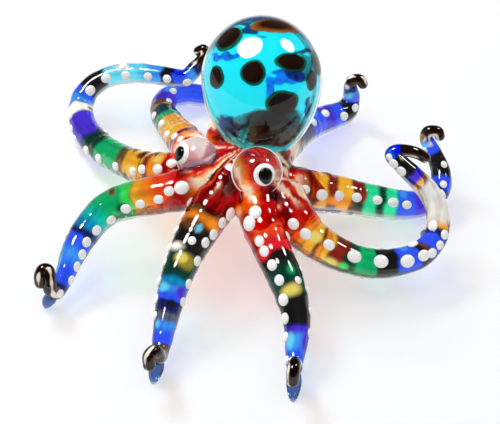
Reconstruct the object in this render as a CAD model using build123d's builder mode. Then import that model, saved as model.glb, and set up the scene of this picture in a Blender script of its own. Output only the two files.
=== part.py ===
from build123d import *
import os
from math import asin, atan2, cos, degrees, radians, sin, sqrt

# A flameworked octopus in coloured glass: a cased bulb on a ruby head, with eight rods for arms.
# Each rod is bands of coloured glass on a clear underside, and ends in a thin dark hook.
# Lengths are in millimetres, +Z is up, and the origin lies on the table under the middle of the spread.

# Head, whose axis is placed so that the spread of the arms is centred on the origin
HEAD_ACROSS = -2.5
HEAD_AHEAD = 6.3
HEAD_RADIUS = 14.0
HEAD_RIM_RADIUS = 6.5
HEAD_HALF_HEIGHT = 9.5
HEAD_HEIGHT = 17.5

# Mantle, a pear-shaped bulb that leans back: a clear casing over a turquoise core
MANTLE_LEAN = 24.0
MANTLE_RADIUS = 16.4
NECK_RADIUS = 6.6
NECK_DROP = 21.0
CORE_DROP = 18.0
CASING_WALL = 1.3
SPOT_RADIUS = 3.4
SPOT_RISE = 0.3
SPOT_THICKNESS = 1.2

# Eyes, clear beads on the front of the head, each with a white disc and a black pupil
EYE_WHITE_RADIUS = 3.0
EYE_WHITE_RISE = 0.35
PUPIL_RADIUS = 1.9
PUPIL_RISE = 0.35
RIGHT_EYE_RADIUS = 6.6
LEFT_EYE_RADIUS = 5.75

# Arms
ARM_REACH = 50.0
ROOT_DIAMETER = 12.5
DOT_LEAST_SPACING = 3.6
DOT_DIAMETER = 2.9
DOT_END_DIAMETER = 2.1
DOT_HEIGHT = 0.9
DOT_SEAT = 0.3
DOT_MARGIN = 7.5
NUB_DIAMETER = 2.2
NUB_HEIGHT = 1.5
FOOT_RADIUS = 1.9
FOOT_HEIGHT = 2.8
FOOT_TOP_RADIUS = 1.4
FOOT_TIP_RADIUS = 0.8

# How far below the rod's axis the clear underside meets the colour, as a share of the rod's radius
SEAM_SHARE = 0.42
# How far up each flank the row of dots sits, in degrees above the horizontal
DOT_FLANK = 40.0
# Rings of each rod between two rows of its table
RING_STEPS = 2
# The rounded end of a hook: how far past the last ring, and how thick, as shares of its radius
HOOK_END_SHARES = ((0.5, 0.87), (0.85, 0.53), (1.0, 0.15))

# Where the spots sit on the core: a direction from the middle of the bulb, then a share of SPOT_RADIUS
SPOT_SHARES = (
    (-0.53, -0.03, 0.85, 1.05),
    (-0.79, -0.47, 0.40, 0.95),
    (-0.14, -0.69, 0.71, 1.00),
    (0.49, -0.43, 0.76, 1.10),
    (0.86, -0.42, 0.29, 0.85),
    (0.95, 0.13, 0.27, 1.00),
    (0.21, 0.28, 0.94, 1.20),
    (0.28, -0.93, 0.24, 1.25),
    (-0.80, 0.52, 0.30, 1.05),
    (-0.30, 0.83, 0.47, 1.10),
    (0.42, 0.83, 0.37, 0.95),
    (0.10, 0.95, -0.30, 1.05),
    (-0.66, -0.30, -0.36, 0.85),
    (0.74, 0.60, -0.20, 0.90),
)

# The middles of the neck's end and of the eyes, from the middle of the head:
# across and back as shares of HEAD_RADIUS, up as a share of HEAD_HALF_HEIGHT
NECK_SHARES = (0.364, 0.376, 0.36)
RIGHT_EYE_SHARES = (0.27, -0.665, 1.0)
LEFT_EYE_SHARES = (-0.88, 0.03, 0.58)
# The eyes' gaze, as directions of unit length
RIGHT_GAZE_SHARES = (0.32, -0.77, 0.55)
LEFT_GAZE_SHARES = (-0.80, -0.26, 0.54)

# Each arm's rod from the head outwards, then its hook: across, back and up as shares of ARM_REACH
# from the foot of the head's axis, and thickness as a share of ROOT_DIAMETER.
# The tables take the head's rim to lie at HEAD_RIM_SHARE, its middle to be HEAD_TOP_SHARE up,
# and half the root to be HALF_ROOT_SHARE thick. From there a rod follows the sizes themselves.
HEAD_RIM_SHARE = 0.28
HEAD_TOP_SHARE = 0.35
HALF_ROOT_SHARE = 0.125
LEFT_FRONT_SHARES = (
    (-0.20, -0.10, 0.38, 1.00),
    (-0.33, -0.16, 0.38, 0.92),
    (-0.47, -0.18, 0.36, 0.85),
    (-0.61, -0.18, 0.32, 0.80),
    (-0.73, -0.20, 0.28, 0.74),
    (-0.82, -0.27, 0.23, 0.67),
    (-0.88, -0.36, 0.19, 0.61),
    (-0.92, -0.45, 0.155, 0.53),
    (-0.95, -0.54, 0.12, 0.43),
    (-0.99, -0.63, 0.09, 0.37),
    (-1.015, -0.655, 0.135, 0.32),
    (-1.015, -0.64, 0.19, 0.29),
    (-1.025, -0.61, 0.225, 0.27),
    (-1.05, -0.61, 0.23, 0.27),
    (-1.065, -0.63, 0.205, 0.27),
    (-1.065, -0.645, 0.17, 0.26),
)
FRONT_LEFT_SHARES = (
    (-0.09, -0.13, 0.38, 1.04),
    (-0.16, -0.27, 0.36, 0.98),
    (-0.24, -0.42, 0.32, 0.86),
    (-0.30, -0.55, 0.28, 0.74),
    (-0.35, -0.68, 0.225, 0.66),
    (-0.38, -0.79, 0.17, 0.58),
    (-0.40, -0.91, 0.13, 0.48),
    (-0.42, -1.045, 0.09, 0.37),
    (-0.425, -1.115, 0.13, 0.32),
    (-0.43, -1.135, 0.19, 0.29),
    (-0.445, -1.15, 0.215, 0.27),
    (-0.465, -1.175, 0.205, 0.27),
    (-0.465, -1.195, 0.165, 0.26),
)
FRONT_RIGHT_SHARES = (
    (0.07, -0.21, 0.38, 1.04),
    (0.10, -0.38, 0.355, 0.92),
    (0.15, -0.53, 0.315, 0.80),
    (0.22, -0.695, 0.26, 0.74),
    (0.265, -0.83, 0.20, 0.64),
    (0.28, -0.95, 0.14, 0.54),
    (0.265, -1.11, 0.09, 0.37),
    (0.265, -1.185, 0.13, 0.32),
    (0.26, -1.205, 0.19, 0.29),
    (0.255, -1.24, 0.22, 0.27),
    (0.25, -1.28, 0.21, 0.27),
    (0.25, -1.295, 0.165, 0.26),
)
RIGHT_LOOP_SHARES = (
    (0.215, -0.20, 0.36, 1.00),
    (0.285, -0.35, 0.33, 0.92),
    (0.37, -0.42, 0.27, 0.82),
    (0.505, -0.465, 0.20, 0.72),
    (0.66, -0.495, 0.16, 0.66),
    (0.805, -0.485, 0.15, 0.62),
    (0.95, -0.435, 0.16, 0.58),
    (1.045, -0.325, 0.19, 0.53),
    (1.06, -0.21, 0.26, 0.51),
    (1.01, -0.12, 0.33, 0.48),
    (0.925, -0.065, 0.40, 0.43),
    (0.855, -0.02, 0.45, 0.38),
    (0.815, 0.01, 0.48, 0.35),
    (0.84, 0.02, 0.50, 0.30),
    (0.90, 0.02, 0.50, 0.27),
    (0.955, 0.02, 0.48, 0.26),
    (0.995, 0.02, 0.45, 0.24),
)
RIGHT_SHARES = (
    (0.20, -0.05, 0.31, 1.01),
    (0.37, -0.01, 0.225, 0.96),
    (0.545, 0.04, 0.145, 0.86),
    (0.715, 0.04, 0.10, 0.77),
    (0.875, 0.02, 0.089, 0.69),
    (1.01, 0.04, 0.08, 0.61),
    (1.11, 0.12, 0.10, 0.53),
    (1.13, 0.22, 0.14, 0.46),
    (1.105, 0.295, 0.19, 0.40),
    (1.07, 0.345, 0.24, 0.35),
    (1.045, 0.36, 0.29, 0.30),
    (1.05, 0.365, 0.33, 0.27),
    (1.08, 0.365, 0.34, 0.26),
    (1.11, 0.365, 0.33, 0.26),
    (1.12, 0.355, 0.31, 0.24),
)
BACK_RIGHT_SHARES = (
    (0.16, 0.20, 0.30, 0.96),
    (0.26, 0.42, 0.22, 0.83),
    (0.38, 0.63, 0.14, 0.74),
    (0.51, 0.76, 0.09, 0.66),
    (0.615, 0.835, 0.08, 0.56),
    (0.65, 0.885, 0.13, 0.45),
    (0.645, 0.88, 0.20, 0.37),
    (0.64, 0.89, 0.25, 0.30),
    (0.66, 0.89, 0.28, 0.27),
    (0.695, 0.885, 0.285, 0.26),
    (0.715, 0.875, 0.26, 0.24),
)
LEFT_LOOP_SHARES = (
    (-0.255, 0.04, 0.34, 0.96),
    (-0.40, 0.05, 0.32, 0.86),
    (-0.555, 0.15, 0.25, 0.77),
    (-0.70, 0.305, 0.17, 0.72),
    (-0.84, 0.485, 0.105, 0.69),
    (-0.95, 0.68, 0.082, 0.64),
    (-0.985, 0.84, 0.11, 0.59),
    (-0.93, 0.945, 0.17, 0.54),
    (-0.80, 1.00, 0.22, 0.50),
    (-0.645, 0.99, 0.25, 0.48),
    (-0.485, 0.94, 0.27, 0.46),
    (-0.355, 0.885, 0.30, 0.42),
    (-0.285, 0.93, 0.34, 0.37),
    (-0.25, 0.955, 0.38, 0.30),
    (-0.23, 0.97, 0.41, 0.27),
    (-0.24, 0.99, 0.43, 0.26),
    (-0.27, 0.995, 0.415, 0.24),
)
BACK_LEFT_SHARES = (
    (-0.26, 0.16, 0.32, 0.96),
    (-0.33, 0.37, 0.24, 0.84),
    (-0.42, 0.60, 0.16, 0.72),
    (-0.485, 0.805, 0.10, 0.64),
    (-0.465, 0.95, 0.08, 0.59),
    (-0.36, 1.00, 0.075, 0.56),
    (-0.24, 0.985, 0.072, 0.51),
    (-0.12, 0.95, 0.072, 0.45),
    (-0.05, 0.935, 0.10, 0.35),
    (-0.005, 0.92, 0.16, 0.30),
    (-0.005, 0.915, 0.22, 0.27),
    (-0.035, 0.91, 0.25, 0.26),
)

# Arms follow each other round the head, so that each root meets the one before it.
ARM_SHARES = {
    "left_front": LEFT_FRONT_SHARES,
    "front_left": FRONT_LEFT_SHARES,
    "front_right": FRONT_RIGHT_SHARES,
    "right_loop": RIGHT_LOOP_SHARES,
    "right": RIGHT_SHARES,
    "back_right": BACK_RIGHT_SHARES,
    "back_left": BACK_LEFT_SHARES,
    "left_loop": LEFT_LOOP_SHARES,
}
# Where the root, shoulder, middle and end pieces finish, as shares of the table; the hook starts at the last.
BANDS = ("root", "shoulder", "middle", "end")
BAND_END_SHARES = {
    "left_front": (0.13, 0.27, 0.4, 0.6),
    "front_left": (0.08, 0.25, 0.42, 0.58),
    "front_right": (0.18, 0.27, 0.45, 0.55),
    "right_loop": (0.13, 0.25, 0.44, 0.69),
    "right": (0.14, 0.21, 0.36, 0.64),
    "back_right": (0.1, 0.2, 0.4, 0.5),
    "back_left": (0.09, 0.27, 0.45, 0.64),
    "left_loop": (0.19, 0.31, 0.5, 0.75),
}
LEFT_ARMS = ("left_front", "front_left", "back_left", "left_loop")

# Pointed feet under the front arms' ends: how far each tip leans out from its top, as shares of ARM_REACH
FOOT_LEAN_SHARES = {
    "left_front": (-0.045, -0.015),
    "front_left": (-0.03, -0.085),
    "front_right": (-0.01, -0.13),
}
# Small balls along the undersides: the arm, then how far along its table and how far round, as shares
NUB_SHARES = (
    ("left_front", 0.2, 0.72),
    ("left_front", 0.4, 0.56),
    ("right_loop", 0.25, 0.74),
    ("right_loop", 0.44, 0.94),
    ("left_loop", 0.19, 0.56),
    ("left_loop", 0.25, 0.54),
)

HEAD_FOOT = Vector(HEAD_ACROSS, HEAD_AHEAD, 0)
UP = Vector(0, 0, 1)


def in_head(across, back, up):
    """A place given from the middle of the head, in shares of its sizes."""
    offset = Vector(across * HEAD_RADIUS, back * HEAD_RADIUS, up * HEAD_HALF_HEIGHT)
    return HEAD_FOOT + UP * HEAD_HEIGHT + offset


def along_arm(rows, row):
    """The middle and the radius of a rod at one row of its table."""
    across, back, up, thick = rows[row]
    outwards = Vector(*rows[0][:2]).normalized()
    level = HEAD_FOOT + Vector(across, back) * ARM_REACH
    level = level + outwards * (HEAD_RADIUS - HEAD_RIM_SHARE * ARM_REACH)
    radius = thick * ROOT_DIAMETER / 2
    lift = (up - HALF_ROOT_SHARE * thick) / HEAD_TOP_SHARE * HEAD_HEIGHT
    return level + UP * (lift + radius), radius


def curve_between(before, here, there, after, share):
    """A share of the way from here to there, on the smooth curve through four values in a row."""
    bend = before * 2 - here * 5 + there * 4 - after
    ease = here * 3 - before - there * 3 + after
    return (here * 2 + (there - before) * share + bend * share**2 + ease * share**3) * 0.5


def rod_rings(rows, hook_row):
    """Planes and radii of the rings along one arm; each plane's Y is up until the hook starts."""
    values = [along_arm(rows, row) for row in range(len(rows))]
    first = [values[0][k] * 2 - values[1][k] for k in range(2)]
    last = [values[-1][k] * 2 - values[-2][k] for k in range(2)]
    padded = [first, *values, last]
    centres, sizes = [], []
    for row in range(len(rows) - 1):
        for step in range(RING_STEPS):
            four = padded[row : row + 4]
            centres.append(curve_between(*[value[0] for value in four], step / RING_STEPS))
            sizes.append(curve_between(*[value[1] for value in four], step / RING_STEPS))
    centres.append(values[-1][0])
    sizes.append(values[-1][1])
    rings = []
    for k, (centre, radius) in enumerate(zip(centres, sizes)):
        along = (centres[min(k + 1, len(centres) - 1)] - centres[max(k - 1, 0)]).normalized()
        side = UP.cross(along)
        if k > hook_row * RING_STEPS:
            before = rings[-1][0].x_dir
            side = before - along * before.dot(along)
        rings.append((Plane(centre, x_dir=side, z_dir=along), radius))
    return rings


def coloured_section(radius):
    """The rod's section above its seam."""
    seam = degrees(asin(SEAM_SHARE))
    drop = radius * SEAM_SHARE
    half = sqrt(radius**2 - drop**2)
    with BuildSketch() as section:
        with BuildLine():
            CenterArc((0, 0), radius, -seam, 90 + seam)
            CenterArc((0, 0), radius, 90, 90 + seam)
            Line((-half, -drop), (half, -drop))
        make_face()
    return section.sketch


def clear_section(radius):
    """The rod's section below its seam."""
    seam = degrees(asin(SEAM_SHARE))
    drop = radius * SEAM_SHARE
    half = sqrt(radius**2 - drop**2)
    with BuildSketch() as section:
        with BuildLine():
            CenterArc((0, 0), radius, 180 + seam, 180 - 2 * seam)
            Line((half, -drop), (-half, -drop))
        make_face()
    return section.sketch


def round_section(radius):
    """The whole round of a rod."""
    with BuildSketch() as section:
        Circle(radius)
    return section.sketch


def drawn_rod(rings, section):
    """A stretch of glass rod through its rings."""
    outlines = [(plane, section(radius)) for plane, radius in rings]
    with BuildPart() as rod:
        for plane, outline in outlines:
            with BuildSketch(plane):
                add(outline)
        loft(ruled=True)
    return rod.part


def trimmed(solid, *others):
    """A piece with what other pieces take up cut away."""
    with BuildPart() as piece:
        add(solid)
        for other in others:
            add(other, mode=Mode.SUBTRACT)
    return piece.part


def dome(diameter, height):
    """A drop of glass with a flat seat, standing on the origin."""
    radius = diameter / 2
    with BuildPart() as drop:
        with BuildSketch(Plane.XZ):
            with BuildLine():
                Line((0, 0), (radius, 0))
                RadiusArc((radius, 0), (0, height), -(radius**2 + height**2) / (2 * height))
                Line((0, height), (0, 0))
            make_face()
        revolve(axis=Axis.Z)
    return drop.part


def seat_on(plane, radius, turn):
    """The place on a rod's skin at an angle round one ring, facing outwards."""
    outwards = plane.x_dir * cos(radians(turn)) + plane.y_dir * sin(radians(turn))
    return Plane(plane.origin + outwards * (radius + DOT_SEAT), x_dir=plane.z_dir, z_dir=outwards)


def clear_of_others(place, arm):
    """Whether a dot at a place on one arm stays clear of the other arms."""
    others = [ring for other, rings in rods.items() if other != arm for ring in rings]
    return all((place - plane.origin).length > radius + DOT_DIAMETER for plane, radius in others)


def pear(inset, drop):
    """The mantle's bulb, set in from its skin: a round crown above its widest ring, a taper below it."""
    crown, flank = MANTLE_RADIUS - inset, flank_radius - inset
    bend_across = MANTLE_RADIUS - flank_radius
    turn = degrees(asin(drop / flank))
    end_across = bend_across + sqrt(flank**2 - drop**2)
    with BuildPart() as bulb:
        with BuildSketch(mantle_profile):
            with BuildLine():
                CenterArc((0, 0), crown, 0, 90)
                CenterArc((bend_across, 0), flank, -turn, turn)
                Polyline((end_across, -drop), (0, -drop), (0, crown))
            make_face()
        revolve(axis=mantle_axis)
    return bulb.part


def core_reach(facing):
    """How far the core's skin lies from the middle of the bulb, in one direction."""
    below = min(0, facing.dot(mantle_up))
    bend_across = MANTLE_RADIUS - flank_radius
    flank = flank_radius - CASING_WALL
    return bend_across * sqrt(1 - below**2) + sqrt(flank**2 - (bend_across * below) ** 2)


def ball(centre, radius):
    """A round bead."""
    with BuildPart() as bead:
        with Locations(centre):
            Sphere(radius)
    return bead.part


def disc_on_ball(centre, gaze, disc_radius, inner_radius, outer_radius):
    """A round patch of glass on a bead, facing along its gaze."""
    inner, outer = ball(centre, inner_radius), ball(centre, outer_radius)
    with BuildPart() as patch:
        with BuildSketch(Plane(centre, z_dir=gaze)):
            Circle(disc_radius)
        extrude(amount=2 * outer_radius)
        add(outer, mode=Mode.INTERSECT)
        add(inner, mode=Mode.SUBTRACT)
    return patch.part


def keep(solids, label):
    """Names one piece, or one group of like pieces, and writes its file."""
    with BuildPart() as piece:
        add(solids)
    piece.part.label = label
    export_step(piece.part, f"parts/{label}.step")


os.makedirs("parts", exist_ok=True)

# Mantle
mantle_up = Vector(0, sin(radians(MANTLE_LEAN)), cos(radians(MANTLE_LEAN)))
mantle_middle = in_head(*NECK_SHARES) + mantle_up * NECK_DROP
mantle_axis = Axis(mantle_middle, mantle_up)
mantle_profile = Plane(mantle_middle, x_dir=(1, 0, 0), z_dir=Vector(1, 0, 0).cross(mantle_up))
flank_radius = ((MANTLE_RADIUS - NECK_RADIUS) ** 2 + NECK_DROP**2) / (2 * (MANTLE_RADIUS - NECK_RADIUS))
mantle = pear(0, NECK_DROP)
core = pear(CASING_WALL, CORE_DROP)
spots = []
for across, back, up, size in SPOT_SHARES:
    facing = Vector(across, back, up).normalized()
    with BuildPart() as spot:
        with BuildSketch(Plane(mantle_middle + facing * (core_reach(facing) + SPOT_RISE), z_dir=facing)):
            Circle(size * SPOT_RADIUS)
        extrude(amount=-SPOT_THICKNESS)
    spots.append(spot.part)
keep(trimmed(core, *spots), "mantle_core")
keep(spots, "mantle_spots")
keep(trimmed(mantle, core, *spots), "mantle_casing")

# Eyes
whites, pupils, beads = [], [], {}
EYES = {
    "right": (RIGHT_EYE_SHARES, RIGHT_EYE_RADIUS, RIGHT_GAZE_SHARES),
    "left": (LEFT_EYE_SHARES, LEFT_EYE_RADIUS, LEFT_GAZE_SHARES),
}
for side, (shares, radius, gaze) in EYES.items():
    centre = in_head(*shares)
    white_radius = radius + EYE_WHITE_RISE
    beads[side] = trimmed(ball(centre, radius), mantle)
    whites.append(disc_on_ball(centre, gaze, EYE_WHITE_RADIUS, radius, white_radius))
    pupils.append(disc_on_ball(centre, gaze, PUPIL_RADIUS, white_radius, white_radius + PUPIL_RISE))
    keep(beads[side], f"eye_bead_{side}")
keep(whites, "eye_whites")
keep(pupils, "eye_pupils")

# Head
rim_across, rim_rise = HEAD_RADIUS - HEAD_RIM_RADIUS, HEAD_HALF_HEIGHT - HEAD_RIM_RADIUS
crown_drop = (rim_across**2 - rim_rise**2) / (2 * rim_rise)
crown_radius = HEAD_HALF_HEIGHT + crown_drop
rim_turn = degrees(atan2(crown_drop, rim_across))
with BuildPart() as dome_of_head:
    with BuildSketch(Plane(in_head(0, 0, 0), x_dir=(1, 0, 0), z_dir=(0, -1, 0))):
        with BuildLine():
            CenterArc((0, crown_drop), crown_radius, -90, 90 - rim_turn)
            CenterArc((rim_across, 0), HEAD_RIM_RADIUS, -rim_turn, 2 * rim_turn)
            CenterArc((0, -crown_drop), crown_radius, rim_turn, 90 - rim_turn)
            Line((0, HEAD_HALF_HEIGHT), (0, -HEAD_HALF_HEIGHT))
        make_face()
    revolve(axis=Axis(HEAD_FOOT, UP))
keep(trimmed(dome_of_head.part, mantle, *beads.values()), "head")

# Arms, with the dots, nubs and feet that sit on them
body = (dome_of_head.part, mantle, *beads.values())
earlier_roots, feet, nubs = [], [], []
dots = {"left": [], "right": []}
rods, band_rows = {}, {}
for arm, rows in ARM_SHARES.items():
    band_rows[arm] = [round(share * (len(rows) - 1)) for share in BAND_END_SHARES[arm]]
    rods[arm] = rod_rings(rows, band_rows[arm][-1])
for arm, rings in rods.items():
    cuts = [0] + [row * RING_STEPS for row in band_rows[arm]]
    hook_rings = rings[cuts[-1] :]
    plane, radius = hook_rings[-1]
    for share, thin in HOOK_END_SHARES:
        hook_rings.append((plane.offset(share * radius), thin * radius))
    hook = drawn_rod(hook_rings, round_section)
    pieces = {}
    for band, start, end in zip(BANDS, cuts, cuts[1:]):
        pieces[band] = drawn_rod(rings[start : end + 1], coloured_section)
    pieces["underside"] = drawn_rod(rings[: cuts[-1] + 1], clear_section)
    for name in ("root", "shoulder", "underside"):
        pieces[name] = trimmed(pieces[name], *body, *earlier_roots)
    earlier_roots.append(drawn_rod(rings[: cuts[1] + 1], round_section))
    pieces["hook"] = hook
    for name, solid in pieces.items():
        keep(solid, f"arm_{arm}_{name}")

    if arm in FOOT_LEAN_SHARES:
        top = rings[cuts[-1] + 1][0].origin
        tip = top - UP * top.Z + Vector(*FOOT_LEAN_SHARES[arm]) * ARM_REACH
        knee = tip + (top - tip) * (FOOT_HEIGHT / top.Z)
        with BuildPart() as foot:
            for place, size in ((tip, FOOT_TIP_RADIUS), (knee, FOOT_RADIUS), (top, FOOT_TOP_RADIUS)):
                with BuildSketch(Plane(place)):
                    Circle(size)
            loft(ruled=True)
        feet.append(trimmed(foot.part, hook, pieces["end"], pieces["underside"]))

    for nub_arm, share, turn in NUB_SHARES:
        if nub_arm == arm:
            seat = seat_on(*rings[round(share * (len(ARM_SHARES[arm]) - 1)) * RING_STEPS], turn * 360)
            nubs.append(dome(NUB_DIAMETER, NUB_HEIGHT).moved(seat.location))

    half = "left" if arm in LEFT_ARMS else "right"
    clear_of_head = HEAD_RADIUS + DOT_MARGIN
    arm_length = sum((b[0].origin - a[0].origin).length for a, b in zip(rings, rings[1 : cuts[-1] + 1]))
    travelled, next_dot = 0, 0
    for (plane, radius), (after, _) in zip(rings, rings[1 : cuts[-1]]):
        from_axis = plane.origin - HEAD_FOOT
        if sqrt(from_axis.X**2 + from_axis.Y**2) > clear_of_head and travelled >= next_dot:
            thin = travelled / arm_length
            size = DOT_DIAMETER + (DOT_END_DIAMETER - DOT_DIAMETER) * thin
            for turn in (DOT_FLANK, 180 - DOT_FLANK):
                seat = seat_on(plane, radius, turn)
                if clear_of_others(seat.origin, arm):
                    dots[half].append(dome(size, DOT_HEIGHT).moved(seat.location))
            next_dot = travelled + DOT_LEAST_SPACING
        travelled += (after.origin - plane.origin).length

keep(feet, "pointed_feet")
keep(nubs, "underside_nubs")
keep(dots["left"], "dots_left_arms")
keep(dots["right"], "dots_right_arms")
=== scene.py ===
import math

import bmesh
import bpy
from bpy.props import FloatProperty, FloatVectorProperty, IntProperty, PointerProperty
from mathutils import Matrix, Vector, noise


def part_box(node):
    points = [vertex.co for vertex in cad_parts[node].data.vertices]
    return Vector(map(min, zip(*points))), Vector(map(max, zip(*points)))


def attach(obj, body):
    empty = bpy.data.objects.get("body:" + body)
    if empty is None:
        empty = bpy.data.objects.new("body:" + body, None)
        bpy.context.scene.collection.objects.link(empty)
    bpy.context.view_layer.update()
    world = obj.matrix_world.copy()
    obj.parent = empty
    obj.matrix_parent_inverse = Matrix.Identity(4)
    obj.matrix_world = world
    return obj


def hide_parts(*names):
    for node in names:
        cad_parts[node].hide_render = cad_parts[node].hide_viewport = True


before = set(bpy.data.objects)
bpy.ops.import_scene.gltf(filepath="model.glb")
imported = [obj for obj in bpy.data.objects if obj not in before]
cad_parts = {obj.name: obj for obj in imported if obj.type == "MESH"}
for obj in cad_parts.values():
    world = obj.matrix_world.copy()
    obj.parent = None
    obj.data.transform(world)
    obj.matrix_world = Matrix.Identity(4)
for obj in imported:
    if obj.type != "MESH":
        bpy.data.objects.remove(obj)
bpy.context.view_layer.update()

bl_info = {
    "name": "Glass Octopus",
    "version": (1, 0, 0),
    "blender": (4, 5, 0),
    "location": "View3D > Sidebar > Octopus",
    "description": "Dresses a flameworked octopus ornament in coloured glass",
    "category": "Object",
}

MM = 0.001
# The photograph's view: from straight in front, looking down at the table
VIEW_ELEVATION = math.radians(45.0)
UP = Vector((0, 0, 1))
VIEW_BACK = Vector((0, -math.cos(VIEW_ELEVATION), math.sin(VIEW_ELEVATION)))
VIEW_UP = Vector((0, math.sin(VIEW_ELEVATION), math.cos(VIEW_ELEVATION)))
BODY = "root"

# The head's axis and height, and the sizes that the arms' tables are shares of
HEAD_LOW, HEAD_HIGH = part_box("head")
HEAD_RADIUS = (HEAD_HIGH.x - HEAD_LOW.x) / 2
HEAD_FOOT = Vector(((HEAD_LOW.x + HEAD_HIGH.x) / 2, (HEAD_LOW.y + HEAD_HIGH.y) / 2, 0))
HEAD_HEIGHT = 17.5 * MM
ARM_REACH = 50.0 * MM
ROOT_DIAMETER = 12.5 * MM

# Each arm from the head outwards, then its hook: across, back and up as shares of ARM_REACH from the foot
# of the head's axis, and thickness as a share of ROOT_DIAMETER
LEFT_FRONT_SHARES = (
    (-0.20, -0.10, 0.38, 1.00),
    (-0.33, -0.16, 0.38, 0.92),
    (-0.47, -0.18, 0.36, 0.85),
    (-0.61, -0.18, 0.32, 0.80),
    (-0.73, -0.20, 0.28, 0.74),
    (-0.82, -0.27, 0.23, 0.67),
    (-0.88, -0.36, 0.19, 0.61),
    (-0.92, -0.45, 0.155, 0.53),
    (-0.95, -0.54, 0.12, 0.43),
    (-0.99, -0.63, 0.09, 0.37),
    (-1.015, -0.655, 0.135, 0.32),
    (-1.015, -0.64, 0.19, 0.29),
    (-1.025, -0.61, 0.225, 0.27),
    (-1.05, -0.61, 0.23, 0.27),
    (-1.065, -0.63, 0.205, 0.27),
    (-1.065, -0.645, 0.17, 0.26),
)
FRONT_LEFT_SHARES = (
    (-0.09, -0.13, 0.38, 1.04),
    (-0.16, -0.27, 0.36, 0.98),
    (-0.24, -0.42, 0.32, 0.86),
    (-0.30, -0.55, 0.28, 0.74),
    (-0.35, -0.68, 0.225, 0.66),
    (-0.38, -0.79, 0.17, 0.58),
    (-0.40, -0.91, 0.13, 0.48),
    (-0.42, -1.045, 0.09, 0.37),
    (-0.425, -1.115, 0.13, 0.32),
    (-0.43, -1.135, 0.19, 0.29),
    (-0.445, -1.15, 0.215, 0.27),
    (-0.465, -1.175, 0.205, 0.27),
    (-0.465, -1.195, 0.165, 0.26),
)
FRONT_RIGHT_SHARES = (
    (0.07, -0.21, 0.38, 1.04),
    (0.10, -0.38, 0.355, 0.92),
    (0.15, -0.53, 0.315, 0.80),
    (0.22, -0.695, 0.26, 0.74),
    (0.265, -0.83, 0.20, 0.64),
    (0.28, -0.95, 0.14, 0.54),
    (0.265, -1.11, 0.09, 0.37),
    (0.265, -1.185, 0.13, 0.32),
    (0.26, -1.205, 0.19, 0.29),
    (0.255, -1.24, 0.22, 0.27),
    (0.25, -1.28, 0.21, 0.27),
    (0.25, -1.295, 0.165, 0.26),
)
RIGHT_LOOP_SHARES = (
    (0.215, -0.20, 0.36, 1.00),
    (0.285, -0.35, 0.33, 0.92),
    (0.37, -0.42, 0.27, 0.82),
    (0.505, -0.465, 0.20, 0.72),
    (0.66, -0.495, 0.16, 0.66),
    (0.805, -0.485, 0.15, 0.62),
    (0.95, -0.435, 0.16, 0.58),
    (1.045, -0.325, 0.19, 0.53),
    (1.06, -0.21, 0.26, 0.51),
    (1.01, -0.12, 0.33, 0.48),
    (0.925, -0.065, 0.40, 0.43),
    (0.855, -0.02, 0.45, 0.38),
    (0.815, 0.01, 0.48, 0.35),
    (0.84, 0.02, 0.50, 0.30),
    (0.90, 0.02, 0.50, 0.27),
    (0.955, 0.02, 0.48, 0.26),
    (0.995, 0.02, 0.45, 0.24),
)
RIGHT_SHARES = (
    (0.20, -0.05, 0.31, 1.01),
    (0.37, -0.01, 0.225, 0.96),
    (0.545, 0.04, 0.145, 0.86),
    (0.715, 0.04, 0.10, 0.77),
    (0.875, 0.02, 0.089, 0.69),
    (1.01, 0.04, 0.08, 0.61),
    (1.11, 0.12, 0.10, 0.53),
    (1.13, 0.22, 0.14, 0.46),
    (1.105, 0.295, 0.19, 0.40),
    (1.07, 0.345, 0.24, 0.35),
    (1.045, 0.36, 0.29, 0.30),
    (1.05, 0.365, 0.33, 0.27),
    (1.08, 0.365, 0.34, 0.26),
    (1.11, 0.365, 0.33, 0.26),
    (1.12, 0.355, 0.31, 0.24),
)
BACK_RIGHT_SHARES = (
    (0.16, 0.20, 0.30, 0.96),
    (0.26, 0.42, 0.22, 0.83),
    (0.38, 0.63, 0.14, 0.74),
    (0.51, 0.76, 0.09, 0.66),
    (0.615, 0.835, 0.08, 0.56),
    (0.65, 0.885, 0.13, 0.45),
    (0.645, 0.88, 0.20, 0.37),
    (0.64, 0.89, 0.25, 0.30),
    (0.66, 0.89, 0.28, 0.27),
    (0.695, 0.885, 0.285, 0.26),
    (0.715, 0.875, 0.26, 0.24),
)
LEFT_LOOP_SHARES = (
    (-0.255, 0.04, 0.34, 0.96),
    (-0.40, 0.05, 0.32, 0.86),
    (-0.555, 0.15, 0.25, 0.77),
    (-0.70, 0.305, 0.17, 0.72),
    (-0.84, 0.485, 0.105, 0.69),
    (-0.95, 0.68, 0.082, 0.64),
    (-0.985, 0.84, 0.11, 0.59),
    (-0.93, 0.945, 0.17, 0.54),
    (-0.80, 1.00, 0.22, 0.50),
    (-0.645, 0.99, 0.25, 0.48),
    (-0.485, 0.94, 0.27, 0.46),
    (-0.355, 0.885, 0.30, 0.42),
    (-0.285, 0.93, 0.34, 0.37),
    (-0.25, 0.955, 0.38, 0.30),
    (-0.23, 0.97, 0.41, 0.27),
    (-0.24, 0.99, 0.43, 0.26),
    (-0.27, 0.995, 0.415, 0.24),
)
BACK_LEFT_SHARES = (
    (-0.26, 0.16, 0.32, 0.96),
    (-0.33, 0.37, 0.24, 0.84),
    (-0.42, 0.60, 0.16, 0.72),
    (-0.485, 0.805, 0.10, 0.64),
    (-0.465, 0.95, 0.08, 0.59),
    (-0.36, 1.00, 0.075, 0.56),
    (-0.24, 0.985, 0.072, 0.51),
    (-0.12, 0.95, 0.072, 0.45),
    (-0.05, 0.935, 0.10, 0.35),
    (-0.005, 0.92, 0.16, 0.30),
    (-0.005, 0.915, 0.22, 0.27),
    (-0.035, 0.91, 0.25, 0.26),
)
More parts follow.
